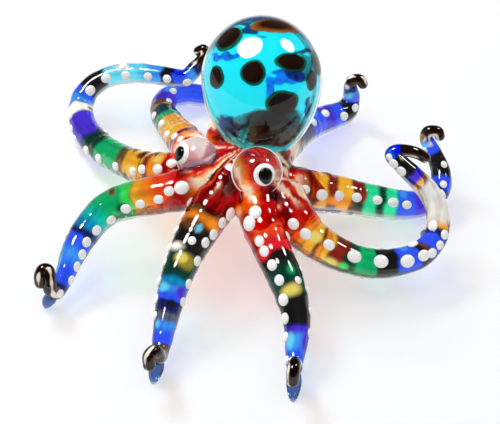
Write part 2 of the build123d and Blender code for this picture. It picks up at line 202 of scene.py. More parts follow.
# Each arm's table, the row where its hook starts, and the record's slot for its glass
ARMS = {
    "left_front": (LEFT_FRONT_SHARES, 9, "amber_glass"),
    "front_left": (FRONT_LEFT_SHARES, 7, "black_glass"),
    "front_right": (FRONT_RIGHT_SHARES, 6, "ruby_glass"),
    "right_loop": (RIGHT_LOOP_SHARES, 11, "cobalt_glass"),
    "right": (RIGHT_SHARES, 9, "emerald_glass"),
    "back_right": (BACK_RIGHT_SHARES, 5, "cobalt_glass"),
    "back_left": (BACK_LEFT_SHARES, 7, "cobalt_glass"),
    "left_loop": (LEFT_LOOP_SHARES, 12, "azure_glass"),
}
ARM_PIECES = ("root", "shoulder", "middle", "end", "hook", "underside")
LEFT_ARMS = ("left_front", "front_left", "back_left", "left_loop")

# Colour bands of each arm: the row of its table where one starts, how softly it starts, in rows, and its glass or
# painted highlight
BANDS = {
    "left_front": (
        (0.0, 0.1, "ruby"),
        (1.45, 0.3, "scarlet"),
        (2.1, 0.3, "orange"),
        (2.55, 0.15, "amber"),
        (2.9, 0.04, "leaf"),
        (3.3, 0.12, "emerald"),
        (4.35, 0.3, "teal"),
        (4.85, 0.25, "peacock"),
        (5.3, 0.15, "navy"),
        (5.62, 0.08, "cobalt"),
        (6.4, 0.4, "azure"),
        (7.2, 0.4, "cobalt"),
        (8.5, 0.15, "navy"),
        (9.3, 0.15, "cane"),
    ),
    "front_left": (
        (0.0, 0.1, "ruby"),
        (1.1, 0.06, "bronze"),
        (1.35, 0.12, "orange"),
        (1.7, 0.08, "black"),
        (2.85, 0.1, "bottle"),
        (3.85, 0.12, "peacock"),
        (4.15, 0.1, "azure"),
        (4.45, 0.15, "cobalt"),
        (4.8, 0.06, "navy"),
        (5.3, 0.08, "smoke"),
        (5.75, 0.15, "azure"),
        (6.1, 0.2, "cobalt"),
        (6.75, 0.08, "cane"),
    ),
    "front_right": (
        (0.0, 0.1, "ruby"),
        (1.0, 0.2, "scarlet"),
        (1.6, 0.3, "ruby"),
        (2.15, 0.04, "black"),
        (2.6, 0.2, "bottle"),
        (3.5, 0.1, "black"),
        (4.75, 0.1, "indigo"),
        (5.1, 0.15, "azure"),
        (5.7, 0.2, "cobalt"),
        (6.5, 0.1, "cane"),
    ),
    "right_loop": (
        (0.0, 0.1, "ruby"),
        (0.9, 0.2, "scarlet"),
        (1.5, 0.1, "orange"),
        (1.8, 0.08, "amber"),
        (2.2, 0.04, "bronze"),
        (2.32, 0.04, "orange"),
        (2.5, 0.04, "amber"),
        (2.72, 0.06, "garnet"),
        (3.25, 0.05, "bottle"),
        (3.6, 0.08, "emerald"),
        (4.32, 0.04, "black"),
        (5.15, 0.05, "cobalt"),
        (5.95, 0.06, "black"),
        (6.2, 0.06, "bronze"),
        (6.4, 0.05, "cobalt"),
        (7.05, 0.08, "navy"),
        # Painted highlight, edged in amber, where the loop bends
        (7.35, 0.08, "amber"),
        (7.6, 0.15, "painted_highlight"),
        (9.35, 0.15, "amber"),
        (9.65, 0.1, "indigo"),
        (10.1, 0.1, "black"),
        (11.5, 0.1, "azure"),
        (12.5, 0.1, "cobalt"),
        (13.3, 0.1, "cane"),
    ),
    "right": (
        (0.0, 0.1, "scarlet"),
        (0.75, 0.06, "amber"),
        (0.95, 0.05, "garnet"),
        (1.05, 0.05, "orange"),
        (1.28, 0.04, "amber"),
        (1.62, 0.03, "garnet"),
        (1.94, 0.03, "amber"),
        (2.36, 0.03, "garnet"),
        (2.78, 0.05, "mint"),
        (3.2, 0.06, "bottle"),
        (3.44, 0.06, "mint"),
        (3.92, 0.05, "cobalt"),
        (4.7, 0.15, "indigo"),
        (5.6, 0.1, "navy"),
        (6.2, 0.1, "cobalt"),
        (6.85, 0.15, "black"),
        (8.4, 0.15, "cobalt"),
        (10.0, 0.15, "cane"),
    ),
    "back_right": (
        (0.0, 0.1, "ruby"),
        (0.7, 0.15, "bottle"),
        (1.0, 0.15, "navy"),
        (2.1, 0.2, "cobalt"),
        (2.8, 0.15, "indigo"),
        (3.3, 0.2, "cobalt"),
        (3.9, 0.06, "black"),
        (4.7, 0.1, "navy"),
        (5.3, 0.2, "cobalt"),
        (6.0, 0.2, "azure"),
        (6.7, 0.1, "cane"),
    ),
    "back_left": (
        (0.0, 0.1, "scarlet"),
        (0.75, 0.1, "amber"),
        (1.25, 0.04, "bronze"),
        (1.4, 0.05, "amber"),
        (2.4, 0.06, "emerald"),
        (2.65, 0.08, "bottle"),
        (3.1, 0.06, "bronze"),
        (3.75, 0.08, "indigo"),
        (4.5, 0.2, "cobalt"),
        (6.2, 0.1, "navy"),
        (7.2, 0.1, "cane"),
    ),
    "left_loop": (
        (0.0, 0.1, "ruby"),
        (0.9, 0.2, "scarlet"),
        (1.3, 0.1, "orange"),
        (1.85, 0.05, "garnet"),
        (2.05, 0.06, "amber"),
        (2.85, 0.05, "bronze"),
        (3.15, 0.05, "emerald"),
        (4.1, 0.08, "bottle"),
        (4.65, 0.08, "indigo"),
        # Painted highlight: a thin cream band
        (5.75, 0.04, "painted_highlight"),
        (6.2, 0.04, "azure"),
        (6.5, 0.1, "cobalt"),
        (6.8, 0.05, "black"),
        (7.72, 0.06, "sky_and_glint"),
        (9.2, 0.3, "azure"),
        (9.9, 0.06, "black"),
        (10.4, 0.1, "cobalt"),
        (11.2, 0.2, "azure"),
        (11.6, 0.15, "navy"),
        (12.4, 0.1, "cane"),
    ),
}
# Flecks that don't go all round an arm: its row and degrees round, half its length in rows and half its width
# in degrees, and its glass or painted highlight
FLECKS = {
    "left_front": (
        (3.62, 98, 0.16, 26, "bronze"),
        (3.35, 25, 0.45, 26, "bottle"),
        (5.5, 38, 0.28, 34, "navy"),
        (7.5, 140, 1.1, 28, "sky_and_glint"),
        (2.5, 25, 0.35, 18, "amber"),
    ),
    "front_left": (
        (1.7, 95, 0.3, 60, "bronze"),
        # Painted highlight: a cream patch
        (2.68, 122, 0.24, 42, "painted_highlight"),
        # Painted highlight: a small curved blue glint
        (1.8, 70, 0.2, 9, "sky_and_glint"),
        (3.15, 62, 0.34, 46, "olive"),
        (3.1, 80, 0.2, 24, "straw"),
        (4.3, 120, 0.25, 30, "sky_and_glint"),
        (4.35, 30, 0.3, 40, "indigo"),
        (4.95, 75, 0.25, 30, "black"),
        (5.9, 125, 0.3, 28, "sky_and_glint"),
    ),
    "front_right": (
        (2.75, 78, 0.22, 22, "emerald"),
        (3.38, 98, 0.28, 46, "straw"),
        (5.35, 125, 0.4, 30, "sky_and_glint"),
        (5.3, 35, 0.6, 40, "indigo"),
    ),
    "right_loop": (
        (2.0, 120, 0.3, 20, "straw"),
        (2.9, 172, 0.32, 24, "straw"),
        (3.3, 170, 0.2, 20, "leaf"),
        (5.5, 70, 0.25, 25, "azure"),
    ),
    "right": (
        (1.9, 160, 0.7, 18, "orange"),
        (2.6, 165, 0.3, 22, "bottle"),
        (4.15, 90, 0.2, 25, "azure"),
        # Painted highlight on the hook: pale blue, then cream
        (9.6, 20, 0.5, 70, "sky_and_glint"),
        (10.3, 4, 0.55, 50, "painted_highlight"),
    ),
    "back_right": (
        (2.5, 100, 0.25, 30, "azure"),
        # Painted highlight on the hook: pale blue, then cream
        (6.1, 100, 0.45, 70, "sky_and_glint"),
        (6.85, 92, 0.5, 52, "painted_highlight"),
    ),
    "back_left": (
        (2.0, 160, 0.3, 25, "leaf"),
        (4.6, 95, 0.25, 25, "azure"),
    ),
    "left_loop": (
        (2.3, 85, 0.2, 25, "garnet"),
        (1.6, 80, 0.25, 20, "straw"),
        (5.95, 150, 0.15, 30, "bronze"),
        (8.4, 95, 0.35, 30, "cream"),
        (9.3, 30, 1.2, 26, "indigo"),
    ),
}

# Dots on the flank that faces out of each bend: a row of the arm's table, degrees round from the arm's left,
# and a diameter in mm
DOTS = {
    "left_front": (
        (1.05, 51, 3.7),
        (1.45, 48, 2.6),
        (1.85, 30, 2.6),
        (2.45, 24, 2.6),
        (3.12, 21, 2.8),
        (4.2, 9, 2.6),
        (5.25, 27, 2.7),
        (6.08, 36, 2.6),
        (6.75, 27, 2.6),
        (7.5, 21, 2.5),
        (8.25, 12, 2.4),
        (9.4, 8, 2.3),
    ),
    "front_left": (
        (1.1, 12, 3.4),
        (1.48, 18, 2.8),
        (1.98, 21, 2.7),
        (2.45, 30, 2.7),
        (2.67, 72, 2.2),
        (3.17, 22, 2.6),
        (4.05, 18, 2.5),
        (4.9, 16, 2.4),
    ),
    "front_right": (
        (1.0, 111, 3.4),
        (1.25, 138, 4.0),
        (1.88, 132, 2.9),
        (2.25, 132, 2.7),
        (2.67, 129, 2.7),
        (3.15, 126, 2.8),
        (3.35, 63, 2.0),
        (3.83, 135, 2.8),
        (4.58, 147, 2.8),
        (5.3, 156, 2.4),
        (6.1, 159, 2.3),
    ),
    "right_loop": (
        (1.15, 129, 3.0),
        (1.6, 129, 3.0),
        (2.5, 120, 2.9),
        (3.48, 120, 3.5),
        (4.42, 123, 3.7),
        (5.38, 135, 3.6),
        (5.95, 135, 3.0),
        (6.25, 147, 2.6),
        (6.6, 147, 2.4),
        (7.05, 138, 2.6),
        (7.3, 66, 2.8),
        (5.88, 60, 2.8),
        (4.4, 40, 2.8),
        (8.6, 150, 2.4),
        (10.6, 12, 2.6),
        (11.35, 12, 2.5),
        (11.97, 18, 1.8),
    ),
    "right": (
        (0.5, 140, 2.6),
        (1.07, 147, 3.2),
        (1.6, 144, 3.0),
        (2.38, 135, 2.7),
        (3.2, 129, 2.6),
        (3.77, 129, 2.8),
        (4.25, 135, 2.6),
        (6.15, 111, 2.2),
        (7.38, 102, 2.0),
        (8.95, 0, 1.8),
    ),
    "back_right": (
        (1.7, 130, 2.6),
        (2.52, 114, 2.5),
        (3.45, 150, 2.6),
        (4.42, 147, 2.4),
    ),
    "back_left": (
        (0.35, 57, 2.4),
        (0.8, 48, 2.5),
        (1.25, 33, 2.4),
        (1.85, 39, 2.5),
        (2.52, 30, 2.4),
        (3.08, 120, 2.0),
        (4.17, 114, 2.2),
        (5.1, 60, 2.2),
        (6.0, 60, 2.2),
    ),
    "left_loop": (
        (0.78, 66, 2.6),
        (1.1, 45, 2.7),
        (1.6, 36, 2.7),
        (1.93, 24, 2.6),
        (2.65, 15, 2.7),
        (3.42, 12, 2.8),
        (4.03, 6, 2.7),
        (4.7, 354, 2.6),
        (5.08, 6, 2.5),
        (5.5, 33, 2.8),
        (6.85, 135, 2.9),
        (7.78, 141, 2.8),
        (8.57, 96, 2.4),
        (8.65, 153, 2.7),
        (9.53, 156, 2.5),
        (10.4, 156, 2.6),
        (11.1, 178, 2.5),
    ),
}
# Dots on the other flank: the first and last row, degrees round, and a spacing and a diameter in mm
FAR_DOTS = {
    "left_front": (1.4, 4.5, 168, 5.2, 2.5),
    "front_left": (1.3, 6.2, 156, 4.6, 2.5),
    "front_right": (1.2, 5.6, 14, 5.2, 2.5),
    "right_loop": (1.4, 3.6, 12, 5.4, 2.6),
    "right": (1.4, 5.0, 12, 5.2, 2.5),
    "back_right": (1.4, 4.4, 12, 4.8, 2.4),
    "back_left": (1.2, 2.8, 168, 4.8, 2.3),
    "left_loop": (1.0, 4.6, 168, 5.4, 2.5),
}

# Glass nubs on the lower flanks: the arm, a row of its table, degrees round, and a diameter in mm
NUBS = (
    ("left_front", 3.0, 260.0, 2.0),
    ("left_front", 6.0, 200.0, 2.8),
    ("right_loop", 4.0, 265.0, 2.4),
    ("right_loop", 7.0, 340.0, 2.6),
    ("left_loop", 3.1, 205.0, 1.8),
    ("left_loop", 4.0, 195.0, 1.8),
)

# Where the spots sit on the core: a direction from the middle of the bulb, a share of the spot radius,
# how many times wider than high it is, and its rim
SPOT_SHARES = (
    (-0.55, 0.03, 0.835, 1.3, 1.05, "spot_edge"),
    (-0.79, -0.47, 0.40, 0.95, 1.0, "spot_edge"),
    (-0.158, -0.70, 0.695, 1.00, 1.05, "spot_edge"),
    (0.50, -0.47, 0.727, 0.8, 1.8, "spot_edge"),
    (0.86, -0.42, 0.29, 0.85, 1.0, "spot_edge"),
    (0.95, 0.02, 0.34, 1.05, 1.3, "spot_edge"),
    (0.21, 0.16, 0.95, 1.0, 1.95, "halo"),
    (0.35, -0.91, 0.19, 1.15, 1.25, "spot_edge"),
    (-0.80, 0.52, 0.30, 1.05, 1.0, "spot_edge"),
    (-0.30, 0.83, 0.47, 1.10, 1.1, "spot_edge"),
    (0.42, 0.83, 0.37, 0.95, 1.0, "spot_edge"),
    (-0.54, 0.83, 0.03, 0.95, 1.0, "spot_edge"),
    (0.50, 0.74, -0.44, 0.85, 1.2, "spot_edge"),
    (0.88, 0.46, 0.02, 0.80, 1.0, "spot_edge"),
)


def linear(code):
    """An sRGB hex colour as linear red, green and blue."""
    parts = [int(code[k : k + 2], 16) / 255 for k in (1, 3, 5)]
    return tuple(v / 12.92 if v <= 0.04045 else ((v + 0.055) / 1.055) ** 2.4 for v in parts)


def glass_colour(name, code, what):
    """A colour that a user can change."""
    return FloatVectorProperty(
        name=name, description=what, default=linear(code), subtype="COLOR", min=0, max=1
    )


def length(name, default, what):
    """A length in metres that a user can change, given in millimetres."""
    return FloatProperty(name=name, description=what, default=default * MM, unit="LENGTH", min=0)


class OctopusGlass(bpy.types.PropertyGroup):
    """The colours of the glass."""

    ruby: glass_colour("Ruby", "#d8141e", "Head and the roots of the front arms")
    scarlet: glass_colour("Scarlet", "#ff3a10", "Bright red stretches")
    garnet: glass_colour("Garnet", "#74140a", "Dark red stripes")
    orange: glass_colour("Orange", "#ff7e12", "Orange stretches")
    amber: glass_colour("Amber", "#ffa61e", "Amber stripes")
    straw: glass_colour("Straw", "#f0d65c", "Pale yellow stretches")
    bronze: glass_colour("Bronze", "#5e300e", "Brown edges between colours")
    olive: glass_colour("Olive", "#94801e", "Yellow-olive stretch of one front arm")
    leaf: glass_colour("Leaf", "#30e44c", "Bright yellow-green stretch")
    mint: glass_colour("Mint", "#1ee892", "Bright green bands of one side arm")
    emerald: glass_colour("Emerald", "#04a858", "Green bands")
    bottle: glass_colour("Bottle", "#042c1e", "Dark green bands")
    teal: glass_colour("Teal", "#06b0a0", "Blue-green stretch")
    peacock: glass_colour("Peacock", "#0678b4", "Deep blue-green stretch")
    # Palest blue: the glass's own colour in most bands and flecks, and a painted highlight in three flecks
    sky_and_glint: glass_colour("Sky", "#5cdcff", "Palest blue stretch")
    azure: glass_colour("Azure", "#2e8cff", "Light blue bands")
    cobalt: glass_colour("Cobalt", "#2446ff", "Strong blue bands")
    indigo: glass_colour("Indigo", "#3a22cc", "Violet-blue bands")
    navy: glass_colour("Navy", "#10124e", "Nearly black blue")
    smoke: glass_colour("Smoke", "#4a4e66", "Grey translucent band")
    black: glass_colour("Black", "#0c0b0c", "Black bands and hooks")
    cane: glass_colour("Cane", "#4e3016", "Brown-black hooks")
    # Painted highlights: cream-white bands, flecks and lines on the hooks, where the glass mirrors the lamps
    painted_highlight: glass_colour("Lustre", "#fffaec", "Bands with a creamy lustre")
    # Gold edges of the painted highlights, on their lower flanks
    highlight_gold: glass_colour("Gilt", "#b07c24", "Gold edges of the bands with lustre")
    # Cream: painted reflections and glints in the head's red glass, and one fleck on the left loop
    cream: glass_colour("Cream", "#ffe6c8", "Pale ribbons in the red glass")
    clear: glass_colour("Clear", "#f4f8f8", "Casing and beads")
    # Grey-green painted shade on the clear strip under the arms, darker still on the nubs
    underside: glass_colour("Underside", "#84948a", "Grey-green strip along under the arms")
    turquoise: glass_colour("Turquoise", "#20eeff", "Core of the bulb")
    vein: glass_colour("Vein", "#0a48d8", "Blue veins in the core")
    # Painted shade: dark blue along the top of the bulb's outline as the camera sees it; also dark blue patches on
    # the core's front
    rim: glass_colour("Rim", "#0c1c4c", "Dark blue glass along the top of the crown")
    # Painted shade: a dark patch at the foot of the bulb's front
    painted_foot_shade: glass_colour("Haze", "#0c1012", "Smoky glass at the foot of the bulb")
    lilac: glass_colour("Lilac", "#d8d6e8", "Left bead")
    spot: glass_colour("Spot", "#180a06", "Spots of the bulb")
    spot_edge: glass_colour("Spot edge", "#0c7a62", "Thin edges of the spots")
    halo: glass_colour("Halo", "#70400f", "Brown ring round the top spot")
    white: glass_colour("White", "#fffefb", "Dots and the whites of the eyes")
    foot: glass_colour("Foot", "#46629e", "Pointed feet")


class OctopusSizes(bpy.types.PropertyGroup):
    """Sizes that the solids leave to the finish."""

    ring_steps: IntProperty(name="Ring steps", description="Rings between two rows of a table", default=18, min=2)
    segments: IntProperty(name="Segments", description="Points round a rod", default=56, min=8)
    band_wobble: FloatProperty(
        name="Band wobble", description="How unevenly a band starts, in rows", default=0.12, min=0
    )
    seam_share: FloatProperty(
        name="Seam", description="Depth of the clear strip's seam as a share of the rod's radius", default=0.04
    )
    dot_rise_share: FloatProperty(
        name="Dot rise", description="Height of a dot as a share of its diameter", default=0.25, min=0
    )
    casing_wall: length("Casing wall", 1.1, "Clear glass over the bulb's core")
    spot_radius: length("Spot radius", 3.4, "Radius of a common spot")
    eye_white: length("Eye white", 6.2, "Diameter of an eye's white disc")


def sizes():
    return bpy.context.scene.octopus_sizes


def glass():
    return bpy.context.scene.octopus_glass


def rgb(name):
    """A glass colour as a vector."""
    return Vector(getattr(glass(), name))


def add_node(tree, kind, settings=None, links=None):
    """Adds a node, sets its properties and inputs, and links inputs to output sockets."""
    node = tree.nodes.new(kind)
    for key, value in (settings or {}).items():
        if isinstance(key, str) and hasattr(node, key):
            setattr(node, key, value)
        else:
            node.inputs[key].default_value = value
    for key, socket in (links or {}).items():
        tree.links.new(socket, node.inputs[key])
    return node


def new_material(name):
    """An empty material tree with its output."""
    material = bpy.data.materials.new(name)
    material.use_nodes = True
    tree = material.node_tree
    tree.nodes.clear()
    return material, tree, tree.nodes.new("ShaderNodeOutputMaterial")


def hand_worked(tree, scale_mm, strength, depth_mm):
    """The gentle unevenness of glass shaped in a flame: a bump, and roughness that varies a little."""
    place = add_node(tree, "ShaderNodeTexCoord").outputs["Object"]
    waves = add_node(
        tree,
        "ShaderNodeTexNoise",
        {"Scale": 1 / (scale_mm * MM), "Detail": 2.0, "Roughness": 0.4},
        {"Vector": place},
    )
    bump = add_node(
        tree,
        "ShaderNodeBump",
        {"Strength": strength, "Distance": depth_mm * MM},
        {"Height": waves.outputs["Fac"]},
    )
    gloss = add_node(
        tree,
        "ShaderNodeMapRange",
        {"From Min": 0.3, "From Max": 0.7, "To Min": 0.008, "To Max": 0.04},
        {"Value": waves.outputs["Fac"]},
    )
    return bump.outputs["Normal"], gloss.outputs["Result"]


def let_lamps_through(tree, output, shader, colour_socket=None, colour=None, tint=None):
    """Lets lamp light pass tinted through glass, so that it throws a soft coloured shadow."""
    path = add_node(tree, "ShaderNodeLightPath")
    if colour_socket is None:
        held = add_node(tree, "ShaderNodeRGB")
        held.outputs[0].default_value = (*colour, 1)
        colour_socket = held.outputs[0]
    parts = add_node(tree, "ShaderNodeSeparateColor", None, {"Color": colour_socket})
    most = add_node(
        tree, "ShaderNodeMath", {"operation": "MAXIMUM"}, {0: parts.outputs[0], 1: parts.outputs[1]}
    )
    most = add_node(
        tree, "ShaderNodeMath", {"operation": "MAXIMUM"}, {0: most.outputs[0], 1: parts.outputs[2]}
    )
    level = add_node(tree, "ShaderNodeMath", {"operation": "POWER", 1: SHADOW_DARKNESS}, {0: most.outputs[0]})
    hue = add_node(
        tree, "ShaderNodeVectorMath", {"operation": "DIVIDE"}, {0: colour_socket, 1: most.outputs[0]}
    )
    thinned = add_node(tree, "ShaderNodeGamma", {"Gamma": SHADOW_GAMMA}, {"Color": hue.outputs[0]})
    shade = add_node(
        tree, "ShaderNodeVectorMath", {"operation": "MULTIPLY"}, {0: thinned.outputs[0], 1: level.outputs[0]}
    )
    filtered = add_node(
        tree,
        "ShaderNodeMix",
        {"data_type": "RGBA", 0: SHADOW_TINT if tint is None else tint, 6: (1, 1, 1, 1)},
        {7: shade.outputs[0]},
    )
    passing = add_node(tree, "ShaderNodeBsdfTransparent", None, {"Color": filtered.outputs[2]})
    mix = add_node(
        tree,
        "ShaderNodeMixShader",
        None,
        {0: path.outputs["Is Shadow Ray"], 1: shader.outputs["BSDF"], 2: passing.outputs["BSDF"]},
    )
    tree.links.new(mix.outputs["Shader"], output.inputs["Surface"])


def deep(colour):
    """A colour for one skin of a rod whose other skin is clear, so that light through both has that colour."""
    return tuple(v**DEPTH for v in colour)


def banded_glass(name):
    """Soft soda-lime rod, fused in bands: clear to look through, coloured by what was melted on to it and by painted
    highlights, reflections and shade.
    """
    material, tree, output = new_material(name)
    colour = add_node(tree, "ShaderNodeAttribute", {"attribute_name": "glass_colour"})
    painted_highlight = add_node(tree, "ShaderNodeAttribute", {"attribute_name": "painted_highlight"})
    milky = add_node(tree, "ShaderNodeAttribute", {"attribute_name": "milky"})
    passing = add_node(
        tree,
        "ShaderNodeMapRange",
        {"To Min": GLASS_TRANSMISSION, "To Max": 0.08},
        {"Value": milky.outputs["Fac"]},
    )
    normal, gloss = hand_worked(tree, 4.0, 0.3, 0.3)
    shader = add_node(
        tree,
        "ShaderNodeBsdfPrincipled",
        {"IOR": 1.5},
        {
            "Base Color": colour.outputs["Color"],
            "Metallic": painted_highlight.outputs["Fac"],
            "Transmission Weight": passing.outputs["Result"],
            "Roughness": gloss,
            "Normal": normal,
        },
    )
    let_lamps_through(tree, output, shader, colour.outputs["Color"])
    return material


def plain_glass(name, colour, ior=1.5, scale_mm=4.0, strength=0.08, depth_mm=0.2, transmission=1.0):
    """Transparent glass of one colour, polished by the flame."""
    material, tree, output = new_material(name)
    normal, gloss = hand_worked(tree, scale_mm, strength, depth_mm)
    shader = add_node(
        tree,
        "ShaderNodeBsdfPrincipled",
        {"Base Color": (*colour, 1), "IOR": ior, "Transmission Weight": transmission},
        {"Roughness": gloss, "Normal": normal},
    )
    let_lamps_through(tree, output, shader, colour=colour)
    return material


def turquoise_glass():
    """Turquoise glass of the bulb: as bright as what lies behind it, and cloudy down in the neck."""
    material, tree, output = new_material("turquoise soda-lime glass")
    colour = add_node(tree, "ShaderNodeAttribute", {"attribute_name": "glass_colour"})
    milky = add_node(tree, "ShaderNodeAttribute", {"attribute_name": "milky"})
    passing = add_node(
        tree,
        "ShaderNodeMapRange",
        {"To Min": GLASS_TRANSMISSION, "To Max": 0.08},
        {"Value": milky.outputs["Fac"]},
    )
    normal, gloss = hand_worked(tree, 9.0, 0.1, 0.3)
    shader = add_node(
        tree,
        "ShaderNodeBsdfPrincipled",
        {"IOR": 1.12},
        {
            "Base Color": colour.outputs["Color"],
            "Transmission Weight": passing.outputs["Result"],
            "Roughness": gloss,
            "Normal": normal,
        },
    )
    let_lamps_through(tree, output, shader, colour.outputs["Color"], tint=CORE_SHADOW_TINT)
    return material


def casing_glass():
    """Thin clear glass over the bulb: it hardly bends light, and mirrors the softboxes."""
    material, tree, output = new_material("clear soda-lime casing glass")
    normal, gloss = hand_worked(tree, 9.0, 0.05, 0.2)
    shader = add_node(
        tree,
        "ShaderNodeBsdfPrincipled",
        {
            "Base Color": (*rgb("clear"), 1),
            "IOR": 1.04,
            "Transmission Weight": 1.0,
            "Coat Weight": 1.0,
            "Coat IOR": 1.42,
        },
        {"Roughness": gloss, "Normal": normal, "Coat Roughness": gloss, "Coat Normal": normal},
    )
    let_lamps_through(tree, output, shader, colour=rgb("clear"))
    return material


def spot_glass():
    """Brown-black glass melted into the core: opaque in the middle, thin and green at its edge."""
    material, tree, output = new_material("brown-black soda-lime glass")
    colour = add_node(tree, "ShaderNodeAttribute", {"attribute_name": "glass_colour"})
    thin = add_node(tree, "ShaderNodeAttribute", {"attribute_name": "thin"})
    shader = add_node(
        tree,
        "ShaderNodeBsdfPrincipled",
        {"IOR": 1.0, "Roughness": 0.1},
        {"Base Color": colour.outputs["Color"], "Transmission Weight": thin.outputs["Fac"]},
    )
    tree.links.new(shader.outputs["BSDF"], output.inputs["Surface"])
    return material


def opaque_glass(name, colour_name, roughness=0.08, attribute=None):
    """Opaque glass with a wet-looking flame polish."""
    material, tree, output = new_material(name)
    normal, gloss = hand_worked(tree, 2.0, 0.1, 0.1)
    shader = add_node(
        tree,
        "ShaderNodeBsdfPrincipled",
        {"Base Color": (*rgb(colour_name), 1), "IOR": 1.5, "Roughness": roughness},
        {"Normal": normal},
    )
    if attribute:
        colour = add_node(tree, "ShaderNodeAttribute", {"attribute_name": attribute})
        tree.links.new(colour.outputs["Color"], shader.inputs["Base Color"])
    tree.links.new(shader.outputs["BSDF"], output.inputs["Surface"])
    return material


def curve_between(before, here, there, after, share):
    """A share of the way from here to there, on the smooth curve through four values in a row."""
    bend = before * 2 - here * 5 + there * 4 - after
    ease = here * 3 - before - there * 3 + after
    return (here * 2 + (there - before) * share + bend * share**2 + ease * share**3) * 0.5


class Rod:
    """One arm's middle line, with its thickness and the way its flanks face."""

    def __init__(self, rows, hook_row, steps, seed):
        places = [HEAD_FOOT + Vector(row[:3]) * ARM_REACH for row in rows]
        radii = [row[3] * ROOT_DIAMETER / 2 for row in rows]
        places = [places[0] * 2 - places[1], *places, places[-1] * 2 - places[-2]]
        radii = [radii[0] * 2 - radii[1], *radii, radii[-1] * 2 - radii[-2]]
        count = (len(rows) - 1) * steps + 1
        self.steps, self.rows = steps, [k / steps for k in range(count)]
        self.places, self.radii, self.lengths = [], [], [0.0]
        for row in self.rows:
            k = min(int(row), len(rows) - 2)
            self.places.append(curve_between(*places[k : k + 4], row - k))
            if len(self.places) > 1:
                self.lengths.append(self.lengths[-1] + (self.places[-1] - self.places[-2]).length)
            wave = noise.noise(Vector((self.lengths[-1] / WAVE_LENGTH, seed, 0)))
            self.radii.append(curve_between(*radii[k : k + 4], row - k) * (1 + WAVE_SHARE * wave))
        self.alongs, self.sides = [], []
        for k, row in enumerate(self.rows):
            along = (self.places[min(k + 1, count - 1)] - self.places[max(k - 1, 0)]).normalized()
            side = UP.cross(along)
            if row > hook_row:
                side = self.sides[-1] - along * self.sides[-1].dot(along)
            self.alongs.append(along)
            self.sides.append(side.normalized())

    def at(self, row):
        """Place, radius, along and side at any row."""
        k = max(0, min(round(row * self.steps), len(self.rows) - 1))
        return self.places[k], self.radii[k], self.alongs[k], self.sides[k]

    def seat(self, row, turn):
        """A place on the skin and the way it faces."""
        place, radius, along, side = self.at(row)
        angle = math.radians(turn)
        outwards = side * math.cos(angle) + along.cross(side) * math.sin(angle)
        return place + outwards * radius, outwards

    def lead(self, row):
        """How many rows further out the near skin seems to lie, where the rod runs away from the camera."""
        _, radius, along, _ = self.at(row)
        away = max(-LEAD_LIMIT, min(LEAD_LIMIT, -along.dot(VIEW_BACK)))
        k = min(round(row * self.steps), len(self.rows) - 2)
        one_row = (self.lengths[k + 1] - self.lengths[max(0, k - 1)]) * self.steps / (2 if k else 1)
        return radius * away / math.sqrt(1 - away**2) / one_row

    def travel(self, first, last, spacing):
        """Rows at an even spacing along the rod."""
        found, gone = [], spacing
        for k in range(round(first * self.steps), min(round(last * self.steps), len(self.rows) - 1)):
            gone += (self.places[k + 1] - self.places[k]).length
            if gone >= spacing:
                found.append(self.rows[k])
                gone -= spacing
        return found


# Degrees round each hook at which a painted highlight line runs, and half the line's width
HOOK_HIGHLIGHT_TURNS = {
    "left_front": -28,
    "front_left": 52,
    "front_right": 126,
    "right_loop": 84,
    "right": 66,
    "back_right": 48,
    "back_left": 130,
    "left_loop": 96,
}
HOOK_HIGHLIGHT_WIDTH = 7
# Largest slope away from the camera that the bands are set forward for
LEAD_LIMIT = 0.75
# Waves that a hand leaves in a drawn rod
WAVE_LENGTH = 2.6 * MM
WAVE_SHARE = 0.05
# Share of light that passes coloured glass, how much deeper one coloured skin is than what shows, and how
# strongly a shadow takes the colour
GLASS_TRANSMISSION = 0.93
DEPTH = 1.6
SHADOW_TINT = 0.9
CORE_SHADOW_TINT = 0.3
SHADOW_GAMMA = 0.4
SHADOW_DARKNESS = 0.12
# Folds of colour in the head's red glass, from the neck out to the arms, whose amber and cream folds are painted
# reflections: how closely they lie round the head, and stops of fold, glass and milkiness
RIBBONS = 2.3
THREADS = 2.6
RIBBON_STOPS = (
    (-0.36, "garnet", 0.0),
    (-0.22, "ruby", 0.2),
    (0.04, "ruby", 0.3),
    (0.16, "scarlet", 0.4),
    (0.24, "orange", 0.6),
    (0.31, "amber", 0.9),
    (0.42, "cream", 1.0),
)
# How far along each arm the head's red glass, with its painted reflections, reaches, in rows
FOLDED_TO = {
    "left_front": 0.9,
    "front_left": 1.0,
    "front_right": 0.9,
    "right_loop": 0.9,
    "right": 0.5,
    "back_right": 0.8,
    "back_left": 0.5,
    "left_loop": 0.7,
}

# Where one glass laps over the next it is darker: how sharp a start laps, how dark it is and its width in rows
SHARP_START = 0.1
RING_SHADE = 0.45
RING_WIDTH = 0.05

RODS = {}


